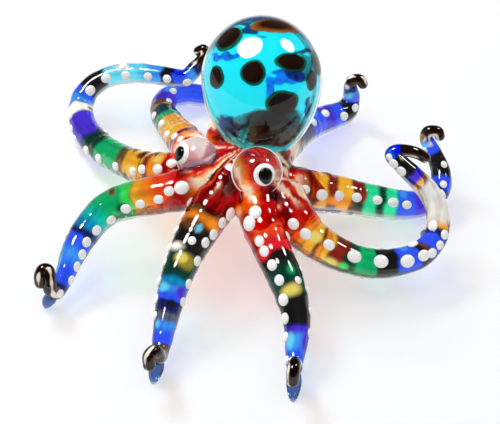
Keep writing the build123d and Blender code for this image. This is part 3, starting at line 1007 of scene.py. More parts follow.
def ribbon(place):
    """The head's glass at one place, as colour and milkiness: folds of red, with painted reflections in amber, cream
    and pale threads.
    """
    out = place - HEAD_FOOT
    out = out / max(1e-6, math.hypot(out.x, out.y)) * RIBBONS
    drift = 0.5 * noise.noise(place / (7 * MM))
    fold = noise.noise(Vector((out.x + drift, out.y - drift, place.z / (14 * MM))))
    fold += 0.12 * noise.noise(place / (2.4 * MM))
    colour, milk = rgb(RIBBON_STOPS[-1][1]), RIBBON_STOPS[-1][2]
    for (low, before, thin), (high, after, thick) in zip(RIBBON_STOPS, RIBBON_STOPS[1:]):
        if fold < high:
            share = max(0, (fold - low) / (high - low))
            colour, milk = rgb(before).lerp(rgb(after), share), thin + (thick - thin) * share
            break
    # Painted glints: pale cream threads, milky where they show; dark threads are a darker garnet
    thread = noise.noise(Vector((out.x + drift, out.y - drift, 0)) * THREADS + UP * place.z / (9 * MM))
    pale, dark = smooth_step(0.06, 0.17, thread), smooth_step(-0.27, -0.36, thread)
    colour = colour.lerp(rgb("cream"), pale * 0.9).lerp(rgb("garnet") * 0.4, dark * 0.9)
    return colour, max(milk * (1 - dark), pale)



def rod_of(arm):
    """The middle line of an arm, worked out once."""
    if arm not in RODS:
        rows, hook_row, _ = ARMS[arm]
        RODS[arm] = Rod(rows, hook_row, sizes().ring_steps, list(ARMS).index(arm))
    return RODS[arm]


def smooth_step(low, high, value):
    """Eases from 0 to 1 between two values."""
    share = min(1, max(0, (value - low) / (high - low)))
    return share * share * (3 - 2 * share)


def new_piece(name, vertices, faces, material, slot, nodes, colours=None, numbers=None):
    """A closed mesh piece that rides on the body and stands for CAD nodes."""
    mesh = bpy.data.meshes.new(name)
    mesh.from_pydata([tuple(v) for v in vertices], [], faces)
    mesh.shade_smooth()
    for key, values in (colours or {}).items():
        layer = mesh.attributes.new(key, "FLOAT_COLOR", "POINT")
        layer.data.foreach_set("color", [x for value in values for x in (*value, 1)])
    for key, values in (numbers or {}).items():
        mesh.attributes.new(key, "FLOAT", "POINT").data.foreach_set("value", values)
    piece = bpy.data.objects.new(f"{name}_glass", mesh)
    return place_piece(piece, material, nodes)


def place_piece(piece, material, nodes):
    """Links a finished piece into the scene and ties it to the frame."""
    if piece.name not in bpy.context.scene.collection.objects:
        bpy.context.scene.collection.objects.link(piece)
    piece.data.materials.clear()
    piece.data.materials.append(material)
    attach(piece, BODY)
    if nodes:
        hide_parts(*nodes)
    return piece


def skin(rings, segments, poles):
    """Faces of a closed skin over rings of points, with a pole at each end."""
    faces = []
    for ring in range(rings - 1):
        for k in range(segments):
            here, there = ring * segments, (ring + 1) * segments
            nxt = (k + 1) % segments
            faces.append((here + k, here + nxt, there + nxt, there + k))
    first, last = poles
    end = (rings - 1) * segments
    for k in range(segments):
        nxt = (k + 1) % segments
        faces.append((first, nxt, k))
        faces.append((last, end + k, end + nxt))
    return faces


def band_colour(arm, row):
    """The glass at one row of an arm, as colour and share of painted highlight."""
    colour, painted_highlight = rgb(BANDS[arm][0][2]), 0.0
    for start, soft, name in BANDS[arm][1:]:
        share = smooth_step(start - soft, start + soft, row)
        if share == 0:
            break
        colour = colour.lerp(rgb(name), share)
        if soft <= SHARP_START:
            colour = colour * (1 - RING_SHADE * math.exp(-(((row - start) / RING_WIDTH) ** 2)))
        painted_highlight += ((name == "painted_highlight") - painted_highlight) * share
    return colour, painted_highlight


def arm_skin(arm):
    """Points, faces, colours and glass numbers of one arm."""
    rod, count = rod_of(arm), sizes().segments
    seam = sizes().seam_share
    hook_row = ARMS[arm][1]
    seed = Vector((list(ARMS).index(arm) * 11.3, 0, 0))
    rings = []
    _, radius, along, side = rod.at(0)
    cap = (0.2, 0.55, 0.83, 0.96)
    for share in cap:
        back = radius * (math.sqrt(1 - share**2))
        rings.append((0.0, rod.places[0] - along * back * 0.6, radius * share, along, side))
    for row, place, radius, along, side in zip(rod.rows, rod.places, rod.radii, rod.alongs, rod.sides):
        rings.append((row, place, radius, along, side))
    row, place, radius, along, side = rings[-1]
    for share in reversed(cap):
        rings.append((row, place + along * radius * math.sqrt(1 - share**2), radius * share, along, side))
    vertices, colours, painted_highlights, milks = [], [], [], []
    under, bottom = rgb("underside"), rgb("clear")
    for row, place, radius, along, side in rings:
        upwards = along.cross(side)
        folded = 1 - smooth_step(FOLDED_TO[arm] - 0.4, FOLDED_TO[arm] + 0.2, row)
        shown = row + rod.lead(row) * (1 - smooth_step(hook_row - 1.0, hook_row, row))
        hooked = smooth_step(hook_row - 0.1, hook_row + 0.5, row)
        for k in range(count):
            angle = 2 * math.pi * k / count
            across, rise = math.cos(angle), math.sin(angle)
            outwards = side * across + upwards * rise
            skin_place = place + outwards * radius
            uneven = noise.noise(skin_place / (5 * MM) + seed)
            groove = math.exp(-(((rise + seam) / 0.07) ** 2)) if row < hook_row else 0
            vertices.append(place + outwards * radius * (1 + 0.02 * uneven - 0.02 * groove))
            wobble = noise.noise(Vector((across * 1.3, rise * 1.3, row * 0.8)) + seed)
            colour, painted_highlight = band_colour(arm, shown + sizes().band_wobble * wobble)
            streak = noise.noise(Vector((across * 3.2, rise * 3.2, row * 0.55)) + seed)
            colour = colour * (1 + 0.2 * noise.noise(skin_place / (2.2 * MM) + seed) + 0.45 * streak)
            for fleck_row, turn, half_length, half_width, name in FLECKS[arm]:
                off = abs((math.degrees(angle) - turn + 180) % 360 - 180)
                if off < half_width * 1.4 and abs(shown - fleck_row) < half_length * 1.4:
                    away = math.hypot((shown - fleck_row) / half_length, off / half_width) + 0.35 * uneven
                    share = 1 - smooth_step(0.35, 1.05, away)
                    colour = colour.lerp(rgb(name), share)
                    painted_highlight = max(painted_highlight, (name == "painted_highlight") * share)
            # Painted highlights stay cream on top and turn gold lower down the flanks
            edge = smooth_step(0.55, 0.95, 1 - rise + 0.5 * noise.noise(skin_place / (1.8 * MM) + seed))
            colour = colour.lerp(rgb("highlight_gold"), edge * painted_highlight)
            # Painted highlight: a broken cream and gold line along each hook
            broken = noise.noise(skin_place / (2.4 * MM) + seed)
            off = abs((math.degrees(angle) - HOOK_HIGHLIGHT_TURNS[arm] + 180) % 360 - 180)
            line = (1 - smooth_step(HOOK_HIGHLIGHT_WIDTH, HOOK_HIGHLIGHT_WIDTH + 9, off - 26 * broken)) * hooked
            pale = rgb("painted_highlight").lerp(rgb("highlight_gold"), max(0, min(1, 0.25 - 1.4 * broken)))
            colour, painted_highlight = colour.lerp(pale, line), max(painted_highlight, line)
            # The clear strip under the rod: painted grey-green shade near the seam, clear further down
            below = smooth_step(-seam + 0.05, -seam - 0.05, rise) * (1 - hooked)
            strip = under.lerp(colour, 0.5).lerp(bottom, smooth_step(-0.3, -0.5, rise))
            colour = Vector(deep(max(0, v) for v in colour)).lerp(colour, painted_highlight)
            folds, thick = ribbon(skin_place)
            colour = colour.lerp(strip, below).lerp(folds, folded)
            colours.append([min(1, max(0, v)) for v in colour])
            painted_highlights.append(0.0)
            milks.append(max(painted_highlight * (1 - below), thick * folded))
    poles = (len(vertices), len(vertices) + 1)
    for ring, way in ((rings[0], -1), (rings[-1], 1)):
        _, place, radius, along, _ = ring
        vertices.append(place + along * way * radius * 0.1)
    colours += [colours[0], colours[-1]]
    painted_highlights += [0.0, 0.0]
    milks += [0.0, 0.0]
    return vertices, skin(len(rings), count, poles), colours, {"painted_highlight": painted_highlights, "milky": milks}


class OCTOPUS_OT_arms(bpy.types.Operator):
    """Draws the eight banded arms with their hooks"""

    bl_idname = "octopus.arms"
    bl_label = "Arms"

    def execute(self, context):
        material = banded_glass("banded soda-lime glass")
        for arm, (_, _, slot) in ARMS.items():
            vertices, faces, colours, numbers = arm_skin(arm)
            nodes = [f"arm_{arm}_{piece}" for piece in ARM_PIECES]
            new_piece(f"arm_{arm}", vertices, faces, material, slot, nodes, {"glass_colour": colours}, numbers)
        return {"FINISHED"}


def dot_tree(material):
    """A tree that sets a flattened drop of glass on each point, by its facing and size."""
    tree = bpy.data.node_groups.new("Raised dots", "GeometryNodeTree")
    tree.interface.new_socket("Geometry", in_out="INPUT", socket_type="NodeSocketGeometry")
    rise = tree.interface.new_socket("Rise share", in_out="INPUT", socket_type="NodeSocketFloat")
    tree.interface.new_socket("Geometry", in_out="OUTPUT", socket_type="NodeSocketGeometry")
    inside = add_node(tree, "NodeGroupInput")
    outside = add_node(tree, "NodeGroupOutput")
    ball = add_node(tree, "GeometryNodeMeshUVSphere", {"Segments": 20, "Rings": 12, "Radius": 0.5})
    flat = add_node(tree, "ShaderNodeCombineXYZ", {"X": 1.12, "Y": 1.0}, {"Z": inside.outputs["Rise share"]})
    drop = add_node(
        tree,
        "GeometryNodeTransform",
        None,
        {"Geometry": ball.outputs["Mesh"], "Scale": flat.outputs["Vector"]},
    )
    soft = add_node(tree, "GeometryNodeSetShadeSmooth", None, {"Geometry": drop.outputs["Geometry"]})
    facing = add_node(tree, "GeometryNodeInputNamedAttribute", {"data_type": "FLOAT_VECTOR", "Name": "facing"})
    size = add_node(tree, "GeometryNodeInputNamedAttribute", {"data_type": "FLOAT", "Name": "size"})
    along = add_node(tree, "GeometryNodeInputNamedAttribute", {"data_type": "FLOAT_VECTOR", "Name": "along"})
    lifted = add_node(
        tree,
        "FunctionNodeAlignRotationToVector",
        {"axis": "Z"},
        {"Vector": facing.outputs["Attribute"]},
    )
    turned = add_node(
        tree,
        "FunctionNodeAlignRotationToVector",
        {"axis": "X", "pivot_axis": "Z"},
        {"Rotation": lifted.outputs["Rotation"], "Vector": along.outputs["Attribute"]},
    )
    points = add_node(tree, "GeometryNodeMeshToPoints", None, {"Mesh": inside.outputs["Geometry"]})
    placed = add_node(
        tree,
        "GeometryNodeInstanceOnPoints",
        None,
        {
            "Points": points.outputs["Points"],
            "Instance": soft.outputs["Geometry"],
            "Rotation": turned.outputs["Rotation"],
            "Scale": size.outputs["Attribute"],
        },
    )
    real = add_node(tree, "GeometryNodeRealizeInstances", None, {"Geometry": placed.outputs["Instances"]})
    finish = add_node(
        tree, "GeometryNodeSetMaterial", {"Material": material}, {"Geometry": real.outputs["Geometry"]}
    )
    tree.links.new(finish.outputs["Geometry"], outside.inputs["Geometry"])
    return tree, rise.identifier


def drops_on(name, seats, tree, rise_socket, rise, material, nodes):
    """Runs the dots' tree over a list of (place, facing, along, size) and keeps the result as a plain mesh."""
    mesh = bpy.data.meshes.new(f"{name} seats")
    mesh.from_pydata([tuple(seat[0]) for seat in seats], [], [])
    for key, index in (("facing", 1), ("along", 2)):
        layer = mesh.attributes.new(key, "FLOAT_VECTOR", "POINT")
        layer.data.foreach_set("vector", [x for seat in seats for x in seat[index]])
    size = mesh.attributes.new("size", "FLOAT", "POINT")
    size.data.foreach_set("value", [seat[3] for seat in seats])
    carrier = bpy.data.objects.new(f"{name} seats", mesh)
    bpy.context.scene.collection.objects.link(carrier)
    modifier = carrier.modifiers.new("Raised dots", "NODES")
    modifier.node_group = tree
    modifier[rise_socket] = rise
    shown = carrier.evaluated_get(bpy.context.evaluated_depsgraph_get())
    made = bpy.data.meshes.new_from_object(shown)
    made.name = name
    carrier.modifiers.remove(modifier)
    bpy.data.objects.remove(carrier)
    piece = bpy.data.objects.new(f"{name}_glass", made)
    return place_piece(piece, material, nodes)


class OCTOPUS_OT_dots(bpy.types.Operator):
    """Sets rows of raised white dots along the flanks of the arms"""

    bl_idname = "octopus.dots"
    bl_label = "Raised dots"

    def execute(self, context):
        material = opaque_glass("opal white glass", "white", roughness=0.12)
        tree, rise_socket = dot_tree(material)
        seats = {"left": [], "right": []}
        for arm in ARMS:
            rod = rod_of(arm)
            half = "left" if arm in LEFT_ARMS else "right"
            first, last, turn, spacing, diameter = FAR_DOTS[arm]
            rows = [(row, turn, diameter) for row in rod.travel(first, last, spacing * MM)]
            for row, turn, diameter in (*DOTS[arm], *rows):
                place, facing = rod.seat(row, turn)
                uneven = 1 + 0.08 * noise.noise(place / (3 * MM))
                seats[half].append((place, facing, rod.at(row)[2], diameter * uneven * MM))
        for half, found in seats.items():
            name = f"dots_{half}_arms"
            drops_on(
                name, found, tree, rise_socket, 2 * sizes().dot_rise_share, material, [name]
            )
        return {"FINISHED"}


class OCTOPUS_OT_nubs(bpy.types.Operator):
    """Sets small glass balls on the lower flanks of the arms"""

    bl_idname = "octopus.nubs"
    bl_label = "Nubs"

    def execute(self, context):
        # The nubs are clear glass, painted dark grey-green for the shade under the arms
        material = plain_glass("clear nub glass painted grey-green for shade", tuple(rgb("underside") * 0.6))
        tree, rise_socket = dot_tree(material)
        seats = [
            (*rod_of(arm).seat(row, turn), rod_of(arm).at(row)[2], diameter * MM) for arm, row, turn, diameter in NUBS
        ]
        drops_on("underside_nubs", seats, tree, rise_socket, 1.0, material, ["underside_nubs"])
        return {"FINISHED"}


def lathe(name, profile, axis_foot, axis_way, segments, material, slot, nodes):
    """A closed round piece from a profile of (radius, height), whose ends lie on the axis."""
    turn = UP.rotation_difference(axis_way).to_matrix()
    vertices = []
    for radius, height in profile[1:-1]:
        for k in range(segments):
            angle = 2 * math.pi * k / segments
            vertices.append(axis_foot + turn @ Vector((radius * math.cos(angle), radius * math.sin(angle), height)))
    poles = (len(vertices), len(vertices) + 1)
    for radius, height in (profile[0], profile[-1]):
        vertices.append(axis_foot + turn @ Vector((0, 0, height)))
    return new_piece(name, vertices, skin(len(profile) - 2, segments, poles), material, slot, nodes)


# The bulb's sizes: a round crown, and a flank that bends in to the neck
MANTLE_RADIUS = 16.4 * MM
CROWN_STRETCH = 1.03
# How much thinner the casing is at the crown
CROWN_THINNING = 0.7
NECK_RADIUS = 6.6 * MM
NECK_DROP = 21.0 * MM
CORE_DROP = 17.0 * MM
CORE_BULGE = 3.6 * MM
MANTLE_LEAN = math.radians(24.0)
MANTLE_UP = Vector((0, math.sin(MANTLE_LEAN), math.cos(MANTLE_LEAN)))
FLANK_RADIUS = ((MANTLE_RADIUS - NECK_RADIUS) ** 2 + NECK_DROP**2) / (2 * (MANTLE_RADIUS - NECK_RADIUS))
MANTLE_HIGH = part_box("mantle_casing")[1]
MANTLE_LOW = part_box("mantle_casing")[0]
MANTLE_MIDDLE = Vector(((MANTLE_LOW.x + MANTLE_HIGH.x) / 2, MANTLE_HIGH.y - MANTLE_RADIUS, MANTLE_HIGH.z - MANTLE_RADIUS))


def pear_profile(inset, drop, bulge=0.0, steps=40):
    """Radius and height of the bulb's outline from its neck to its crown, set in from its skin."""
    crown, flank = MANTLE_RADIUS - inset, FLANK_RADIUS - inset
    bend = MANTLE_RADIUS - FLANK_RADIUS
    turn = math.asin(drop / flank)
    profile = [(0, -drop - bulge)]
    end = bend + flank * math.cos(turn)
    profile += [(end * share, -drop - bulge * math.sqrt(1 - share**2)) for share in (0.2, 0.4, 0.6, 0.8, 0.9, 0.97)]
    for k in range(steps + 1):
        angle = turn * (1 - k / steps)
        profile.append((bend + flank * math.cos(angle), -flank * math.sin(angle)))
    for k in range(1, steps):
        angle = math.pi / 2 * k / steps
        reach = crown + inset * CROWN_THINNING * math.sin(angle) ** 2
        profile.append((reach * math.cos(angle), reach * math.sin(angle) * CROWN_STRETCH))
    profile.append((0, (crown + inset * CROWN_THINNING) * CROWN_STRETCH))
    return profile


def spot_patch(facing, radius, wider, reach, rise, rings, segments):
    """Points and faces of one lens-shaped spot that follows the core's round skin."""
    side = VIEW_UP.cross(facing).normalized()
    other = facing.cross(side)
    seed = facing * 5
    vertices, shares = [], []
    for level in (1, -1):
        for ring in range(rings):
            share = 1 - ring / rings if level > 0 else (ring + 1) / rings
            lift = rise * math.sqrt(max(0, 1 - share**2)) * level
            for k in range(segments):
                angle = 2 * math.pi * k / segments
                way = side * math.cos(angle) * wider + other * math.sin(angle)
                uneven = 1 + 0.12 * noise.noise(way + seed)
                spread = radius * share / reach * way.length * uneven
                way.normalize()
                ray = facing * math.cos(spread) + way * math.sin(spread)
                vertices.append(MANTLE_MIDDLE + ray * (reach + lift))
                shares.append(share)
    return vertices, shares


class OCTOPUS_OT_mantle(bpy.types.Operator):
    """Turns the clear casing, the turquoise core and its dark spots"""

    bl_idname = "octopus.mantle"
    bl_label = "Mantle"

    def execute(self, context):
        wall = sizes().casing_wall
        casing = pear_profile(0, NECK_DROP)
        where = (MANTLE_MIDDLE, MANTLE_UP, 96)
        lathe("mantle_casing", casing, *where, casing_glass(), "clear_glass", ["mantle_casing"])
        core = lathe(
            "mantle_core",
            pear_profile(wall, CORE_DROP, CORE_BULGE, steps=90),
            MANTLE_MIDDLE,
            MANTLE_UP,
            224,
            turquoise_glass(),
            "turquoise_glass",
            ["mantle_core"],
        )
        paint(core, core_colour)
        clouds = [core_cloud(vertex.co) for vertex in core.data.vertices]
        core.data.attributes.new("milky", "FLOAT", "POINT").data.foreach_set("value", clouds)
        self.spots(wall)
        return {"FINISHED"}

    def spots(self, wall):
        """All spots, in one piece of separate lenses."""
        vertices, faces, colours, thins = [], [], [], []
        rings, segments = 12, 48
        for across, back, up, size, wider, rim in SPOT_SHARES:
            facing = Vector((across, back, up)).normalized()
            reach = core_reach(facing, wall) + 0.05 * MM
            start = len(vertices)
            radius = size * sizes().spot_radius
            points, shares = spot_patch(facing, radius, wider, reach, 0.3 * MM, rings, segments)
            vertices += points
            thin_from = 0.5 if rim == "halo" else 0.76
            for share in shares:
                edge = smooth_step(thin_from, 0.97, share)
                colours.append(rgb("spot").lerp(rgb(rim), edge))
                thins.append(edge * 0.9 if rim == "spot_edge" else 0.0)
            patch = skin_of_lens(rings, segments, start)
            faces += patch
        new_piece(
            "mantle_spots",
            vertices,
            faces,
            spot_glass(),
            "black_glass",
            ["mantle_spots"],
            {"glass_colour": colours},
            {"thin": thins},
        )


def paint(piece, colour_at):
    """Colours a piece point by point."""
    layer = piece.data.attributes.new("glass_colour", "FLOAT_COLOR", "POINT")
    colours = [(*colour_at(vertex.co), 1) for vertex in piece.data.vertices]
    layer.data.foreach_set("color", [x for colour in colours for x in colour])


def core_colour(place):
    """Turquoise, with ragged blue streaks, painted shade at the foot in front, and a painted dark edge along the
    crown's outline as the camera sees it.
    """
    way = (place - MANTLE_MIDDLE) / MANTLE_RADIUS
    rise, towards = way.dot(VIEW_UP), way.dot(VIEW_BACK)
    uneven = noise.noise(way * 3.4 + Vector((3.1, 0, 0)))
    ragged = noise.noise(Vector((way.x * 5, way.y * 9, way.z * 9)))
    colour = rgb("turquoise") * (1 + 0.12 * uneven)
    for name, across, up, half_width, half_height, lean, rag in CORE_PATCHES:
        if towards > 0:
            x, y = (way.x - across) / half_width, (rise - up - lean * (way.x - across)) / half_height
            away = (abs(x) ** 3 + abs(y) ** 3) ** (1 / 3) + rag * ragged
            patch = rgb(name) * (1 + 1.1 * noise.noise(way * 11)) if name == "vein" else rgb(name)
            colour = colour.lerp(patch, 1 - smooth_step(0.8, 1.02, away))
    # Painted shade: dark blue along the upper outline of the bulb as the camera sees it
    edge = smooth_step(0.66, 0.5, towards + 0.1 * uneven + 0.3 * abs(way.x)) * smooth_step(-0.6, -0.4, towards)
    colour = colour.lerp(rgb("rim"), edge * smooth_step(0.3, 0.5, rise))
    return [min(1, max(0, v)) for v in colour]


def core_cloud(place):
    """How cloudy the core is: a little all over, and more down in the neck."""
    way = (place - MANTLE_MIDDLE) / MANTLE_RADIUS
    return 0.16 + 0.7 * smooth_step(-0.9, -1.1, way.dot(MANTLE_UP))


# Patches on the front of the core, as shares of the bulb's radius in the photograph's view: the glass or painted
# shade, how far across and up its middle lies, half its width and height, its lean, and how ragged it is
CORE_PATCHES = (
    ("vein", 0.42, -0.05, 0.44, 0.11, 0.12, 0.9),
    ("vein", 0.13, -0.20, 0.07, 0.20, 0.0, 0.7),
    ("vein", -0.58, 0.27, 0.22, 0.08, -0.1, 0.9),
    ("rim", -0.16, 0.70, 0.17, 0.11, -0.5, 0.9),
    ("rim", 0.70, 0.38, 0.18, 0.04, 0.3, 0.7),
    # Painted shade at the foot of the bulb
    ("painted_foot_shade", 0.20, -0.84, 0.54, 0.32, 0.05, 0.12),
    ("rim", -0.54, -0.82, 0.2, 0.16, -0.4, 0.6),
    ("rim", 0.74, -0.50, 0.05, 0.17, 0.3, 0.7),
)


def skin_of_lens(rings, segments, start):
    """Faces between the rings of a lens: rim to middle above, middle to rim below, closed at both."""
    faces = []
    for half in range(2):
        base = start + half * rings * segments
        for ring in range(rings - 1):
            for k in range(segments):
                nxt = (k + 1) % segments
                here, there = base + ring * segments, base + (ring + 1) * segments
                faces.append((here + k, here + nxt, there + nxt, there + k))
    top = start + (rings - 1) * segments
    bottom = start + rings * segments
    faces.append(tuple(top + k for k in range(segments)))
    faces.append(tuple(bottom + k for k in reversed(range(segments))))
    rim, last = start, start + (2 * rings - 1) * segments
    for k in range(segments):
        nxt = (k + 1) % segments
        faces.append((last + k, last + nxt, rim + nxt, rim + k))
    return faces


def core_reach(facing, wall):
    """How far the core's skin lies from the middle of the bulb, in one direction."""
    rise = facing.dot(MANTLE_UP)
    if rise > 0:
        reach = MANTLE_RADIUS - wall * (1 - CROWN_THINNING * rise**2)
        return reach * (1 + (CROWN_STRETCH - 1) * rise**2)
    bend = MANTLE_RADIUS - FLANK_RADIUS
    flank = FLANK_RADIUS - wall
    return bend * math.sqrt(1 - rise**2) + math.sqrt(flank**2 - (bend * rise) ** 2)


# Red glass drawn up beside the neck: balls that are fused, each with its place and radius in mm
FLARE = (
    (-9.5, 9.0, 21.0, 4.6),
    (-9.8, 11.0, 24.5, 3.5),
    (-10.0, 12.6, 27.0, 2.6),
    (-10.2, 13.6, 29.0, 1.8),
)


# How the head's glass is drawn to a point inside an arm: rows of its table, and shares of its radius
DRAWN_OUT = ((0.1, 1.0), (0.3, 0.99), (0.5, 0.9), (0.7, 0.7), (0.9, 0.5), (1.05, 0.36), (1.2, 0.26))


class OCTOPUS_OT_head(bpy.types.Operator):
    """Gathers the ruby head, with a collar round the neck and a web between the arms' roots"""

    bl_idname = "octopus.head"
    bl_label = "Head"

    def execute(self, context):
        shape = bmesh.new()
        middle = HEAD_FOOT + UP * HEAD_HEIGHT
        self.ball(shape, middle, (HEAD_RADIUS, HEAD_RADIUS, 9.5 * MM))
        neck = MANTLE_MIDDLE - MANTLE_UP * NECK_DROP
        for rise, radius in ((1.0, 8.6), (4.0, 8.4), (7.0, 8.8)):
            self.ball(shape, neck + MANTLE_UP * rise * MM, (radius * MM, radius * MM, 3.2 * MM))
        for across, back, up, radius in FLARE:
            self.ball(shape, Vector((across, back, up)) * MM, (radius * MM,) * 3)
        for arm in ARMS:
            rod = rod_of(arm)
            for row, share in DRAWN_OUT:
                place, radius, _, _ = rod.at(row)
                self.ball(shape, place - UP * 0.4 * MM * share, (radius * share,) * 3)
        mesh = bpy.data.meshes.new("head")
        shape.to_mesh(mesh)
        shape.free()
        piece = bpy.data.objects.new("head_glass", mesh)
        bpy.context.scene.collection.objects.link(piece)
        remesh = piece.modifiers.new("Fuse", "REMESH")
        remesh.mode, remesh.voxel_size = "VOXEL", 0.55 * MM
        relax = piece.modifiers.new("Relax", "SMOOTH")
        relax.factor, relax.iterations = 0.6, 14
        shown = piece.evaluated_get(context.evaluated_depsgraph_get())
        fused = bpy.data.meshes.new_from_object(shown)
        piece.modifiers.clear()
        piece.data = fused
        fused.shade_smooth()
        milks = [ribbon(vertex.co)[1] for vertex in fused.vertices]
        fused.attributes.new("milky", "FLOAT", "POINT").data.foreach_set("value", milks)
        paint(piece, lambda place: ribbon(place)[0])
        place_piece(piece, banded_glass("ruby soda-lime glass"), ["head"])
        return {"FINISHED"}

    def ball(self, shape, place, radii):
        """Adds a stretched ball to the shape that is fused."""
        matrix = Matrix.Translation(place) @ Matrix.Diagonal((*radii, 1))
        bmesh.ops.create_icosphere(shape, subdivisions=4, radius=1, matrix=matrix)


# Half the thickness of the painted white highlight round a bead's outline
RIM_HIGHLIGHT = 0.32 * MM


class OCTOPUS_OT_eyes(bpy.types.Operator):
    """Sets the clear bead eyes with their white discs and black pupils"""

    bl_idname = "octopus.eyes"
    bl_label = "Eyes"

    def execute(self, context):
        beads = {
            "right": plain_glass("clear soda-lime bead glass", tuple(rgb("clear")), scale_mm=5.0, strength=0.06),
            "left": plain_glass("lilac soda-lime bead glass", tuple(rgb("lilac")), transmission=0.7),
        }
        white = opaque_glass("opal white glass of the eyes", "white", roughness=0.1)
        black = opaque_glass("opaque black glass", "black", roughness=0.04)
        discs, pupils = ([], []), ([], [])
        gazes = {"right": Vector((0.32, -0.77, 0.55)), "left": Vector((-0.80, -0.26, 0.54))}
        for side, gaze in gazes.items():
            node = f"eye_bead_{side}"
            low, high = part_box(node)
            middle, radius = (low + high) / 2, (high.z - low.z) / 2
            profile = [
                (radius * math.sin(math.pi * k / 48), -radius * math.cos(math.pi * k / 48)) for k in range(49)
            ]
            lathe(node, profile, middle, gaze.normalized(), 64, beads[side], "clear_glass", [node])
            # Painted highlight: a white ring round the bead's outline
            self.ring(discs, middle, radius)
            self.patch(discs, middle, gaze, radius, sizes().eye_white / 2, 0.45 * MM, 0.0)
            self.patch(pupils, middle, gaze, radius + 0.3 * MM, sizes().eye_white * 0.32, 0.8 * MM, 0.34)
        new_piece("eye_whites", *discs, white, "white_glass", ["eye_whites"])
        new_piece("eye_pupils", *pupils, black, "black_glass", ["eye_pupils"])
        return {"FINISHED"}

    def ring(self, made, middle, radius):
        """A thin white ring round a bead's outline as the camera sees it: a painted highlight."""
        vertices, faces = made
        facing, above = VIEW_BACK, VIEW_UP
        side = above.cross(facing)
        start, steps, sides = len(vertices), 72, 10
        for k in range(steps):
            angle = 2 * math.pi * k / steps
            out = side * math.cos(angle) + above * math.sin(angle)
            thick = RIM_HIGHLIGHT * (0.6 + 0.4 * math.sin(angle * 2 + 1.0))
            for j in range(sides):
                turn = 2 * math.pi * j / sides
                vertices.append(middle + out * (radius + thick * math.cos(turn)) + facing * thick * math.sin(turn))
        for k in range(steps):
            for j in range(sides):
                here, there = start + k * sides, start + (k + 1) % steps * sides
                nxt = (j + 1) % sides
                faces.append((here + j, there + j, there + nxt, here + nxt))

    def patch(self, made, middle, gaze, reach, radius, rise, drawn_out):
        """A domed patch on a bead; its outline may be drawn out downwards to a point."""
        vertices, faces = made
        rings, segments = 10, 56
        facing = gaze.normalized()
        side = UP.cross(facing).normalized()
        above = facing.cross(side)
        start = len(vertices)
        for level in (1, -1):
            for ring in range(rings):
                share = 1 - ring / rings if level > 0 else (ring + 1) / rings
                for k in range(segments):
                    angle = 2 * math.pi * k / segments
                    point = 1 + drawn_out * max(0, -math.sin(angle)) ** 5
                    spread = radius * point * share / reach
                    way = side * math.cos(angle) + above * math.sin(angle)
                    ray = facing * math.cos(spread) + way * math.sin(spread)
                    lift = rise * math.sqrt(max(0, 1 - share**3)) if level > 0 else -0.15 * MM * (1 - share)
                    vertices.append(middle + ray * (reach + lift))
        faces += skin_of_lens(rings, segments, start)


class OCTOPUS_OT_feet(bpy.types.Operator):
    """Draws the pale blue pointed feet under the front arms"""

    bl_idname = "octopus.feet"
    bl_label = "Pointed feet"

    def execute(self, context):
        material = plain_glass("pale blue soda-lime glass", tuple(rgb("foot")))
        leans = {"left_front": (-0.045, -0.015), "front_left": (-0.03, -0.085), "front_right": (-0.01, -0.13)}
        rings = ((0.0, 0.75), (0.25, 0.95), (1.1, 1.5), (2.2, 1.9), (3.0, 1.95), (3.8, 1.75), (4.5, 1.3))
        segments = 32
        vertices, faces = [], []
        for arm, lean in leans.items():
            top, _, _, _ = rod_of(arm).at(ARMS[arm][1] + 0.5)
            tip = Vector((top.x + lean[0] * ARM_REACH, top.y + lean[1] * ARM_REACH, 0))
            start = len(vertices)
            for height, radius in rings:
                place = tip + (top - tip) * (height * MM / top.z)
                for k in range(segments):
                    angle = 2 * math.pi * k / segments
                    vertices.append(place + Vector((math.cos(angle), math.sin(angle), 0)) * radius * MM)
            poles = (len(vertices) - start, len(vertices) - start + 1)
            vertices += [tip, tip + (top - tip) * (4.7 * MM / top.z)]
            faces += [tuple(start + k for k in face) for face in skin(len(rings), segments, poles)]
        new_piece("pointed_feet", vertices, faces, material, "pale_blue_glass", ["pointed_feet"])
        return {"FINISHED"}


# The photograph's camera
VIEW_TARGET = HEAD_FOOT + Vector((1.913, -9.456, 12.0)) * MM
VIEW_DISTANCE = 382.5 * MM
VIEW_LENS = 100.8
SENSOR = 36.0
# Softboxes as lamps: the way to one, its distance and width, and how brightly it lights a white card
LAMPS = (
    ("Overhead softbox", (-0.33, 0.13, 0.93), 0.62, 0.40, 0.22),
    ("Right softbox", (0.64, 0.34, 0.69), 0.70, 0.24, 0.04),
    ("Left softbox", (-0.51, 0.70, 0.80), 0.80, 0.22, 0.40),
    ("Front fill", (0.12, -0.80, 0.58), 0.90, 0.50, 0.09),
)
WORLD_LEVEL = 0.47
# The same softboxes as they show in glass: the way to one, half its angle in degrees, and brightness
SOFTBOXES = (
    ((-0.345, 0.132, 0.928), 8.5, 36.0),
    ((0.64, 0.34, 0.69), 5.0, 36.0),
)
# Lamps that only the bulb's casing mirrors, as large as they show there: the same three values
GLINTS = (
    ((-0.345, 0.132, 0.928), 21.0, 40.0),
    ((0.64, 0.34, 0.69), 11.5, 40.0),
)
GLINT_DISTANCE = 0.6
ROOM_LEVEL = 0.03
HORIZON_LEVEL = 0.14
TABLE_RADIUS = 0.4
# How far the table is lifted towards white where the camera sees it, and where it is seen through glass
TABLE_LIFT = 0.45
TABLE_LIFT_IN_GLASS = 1.0


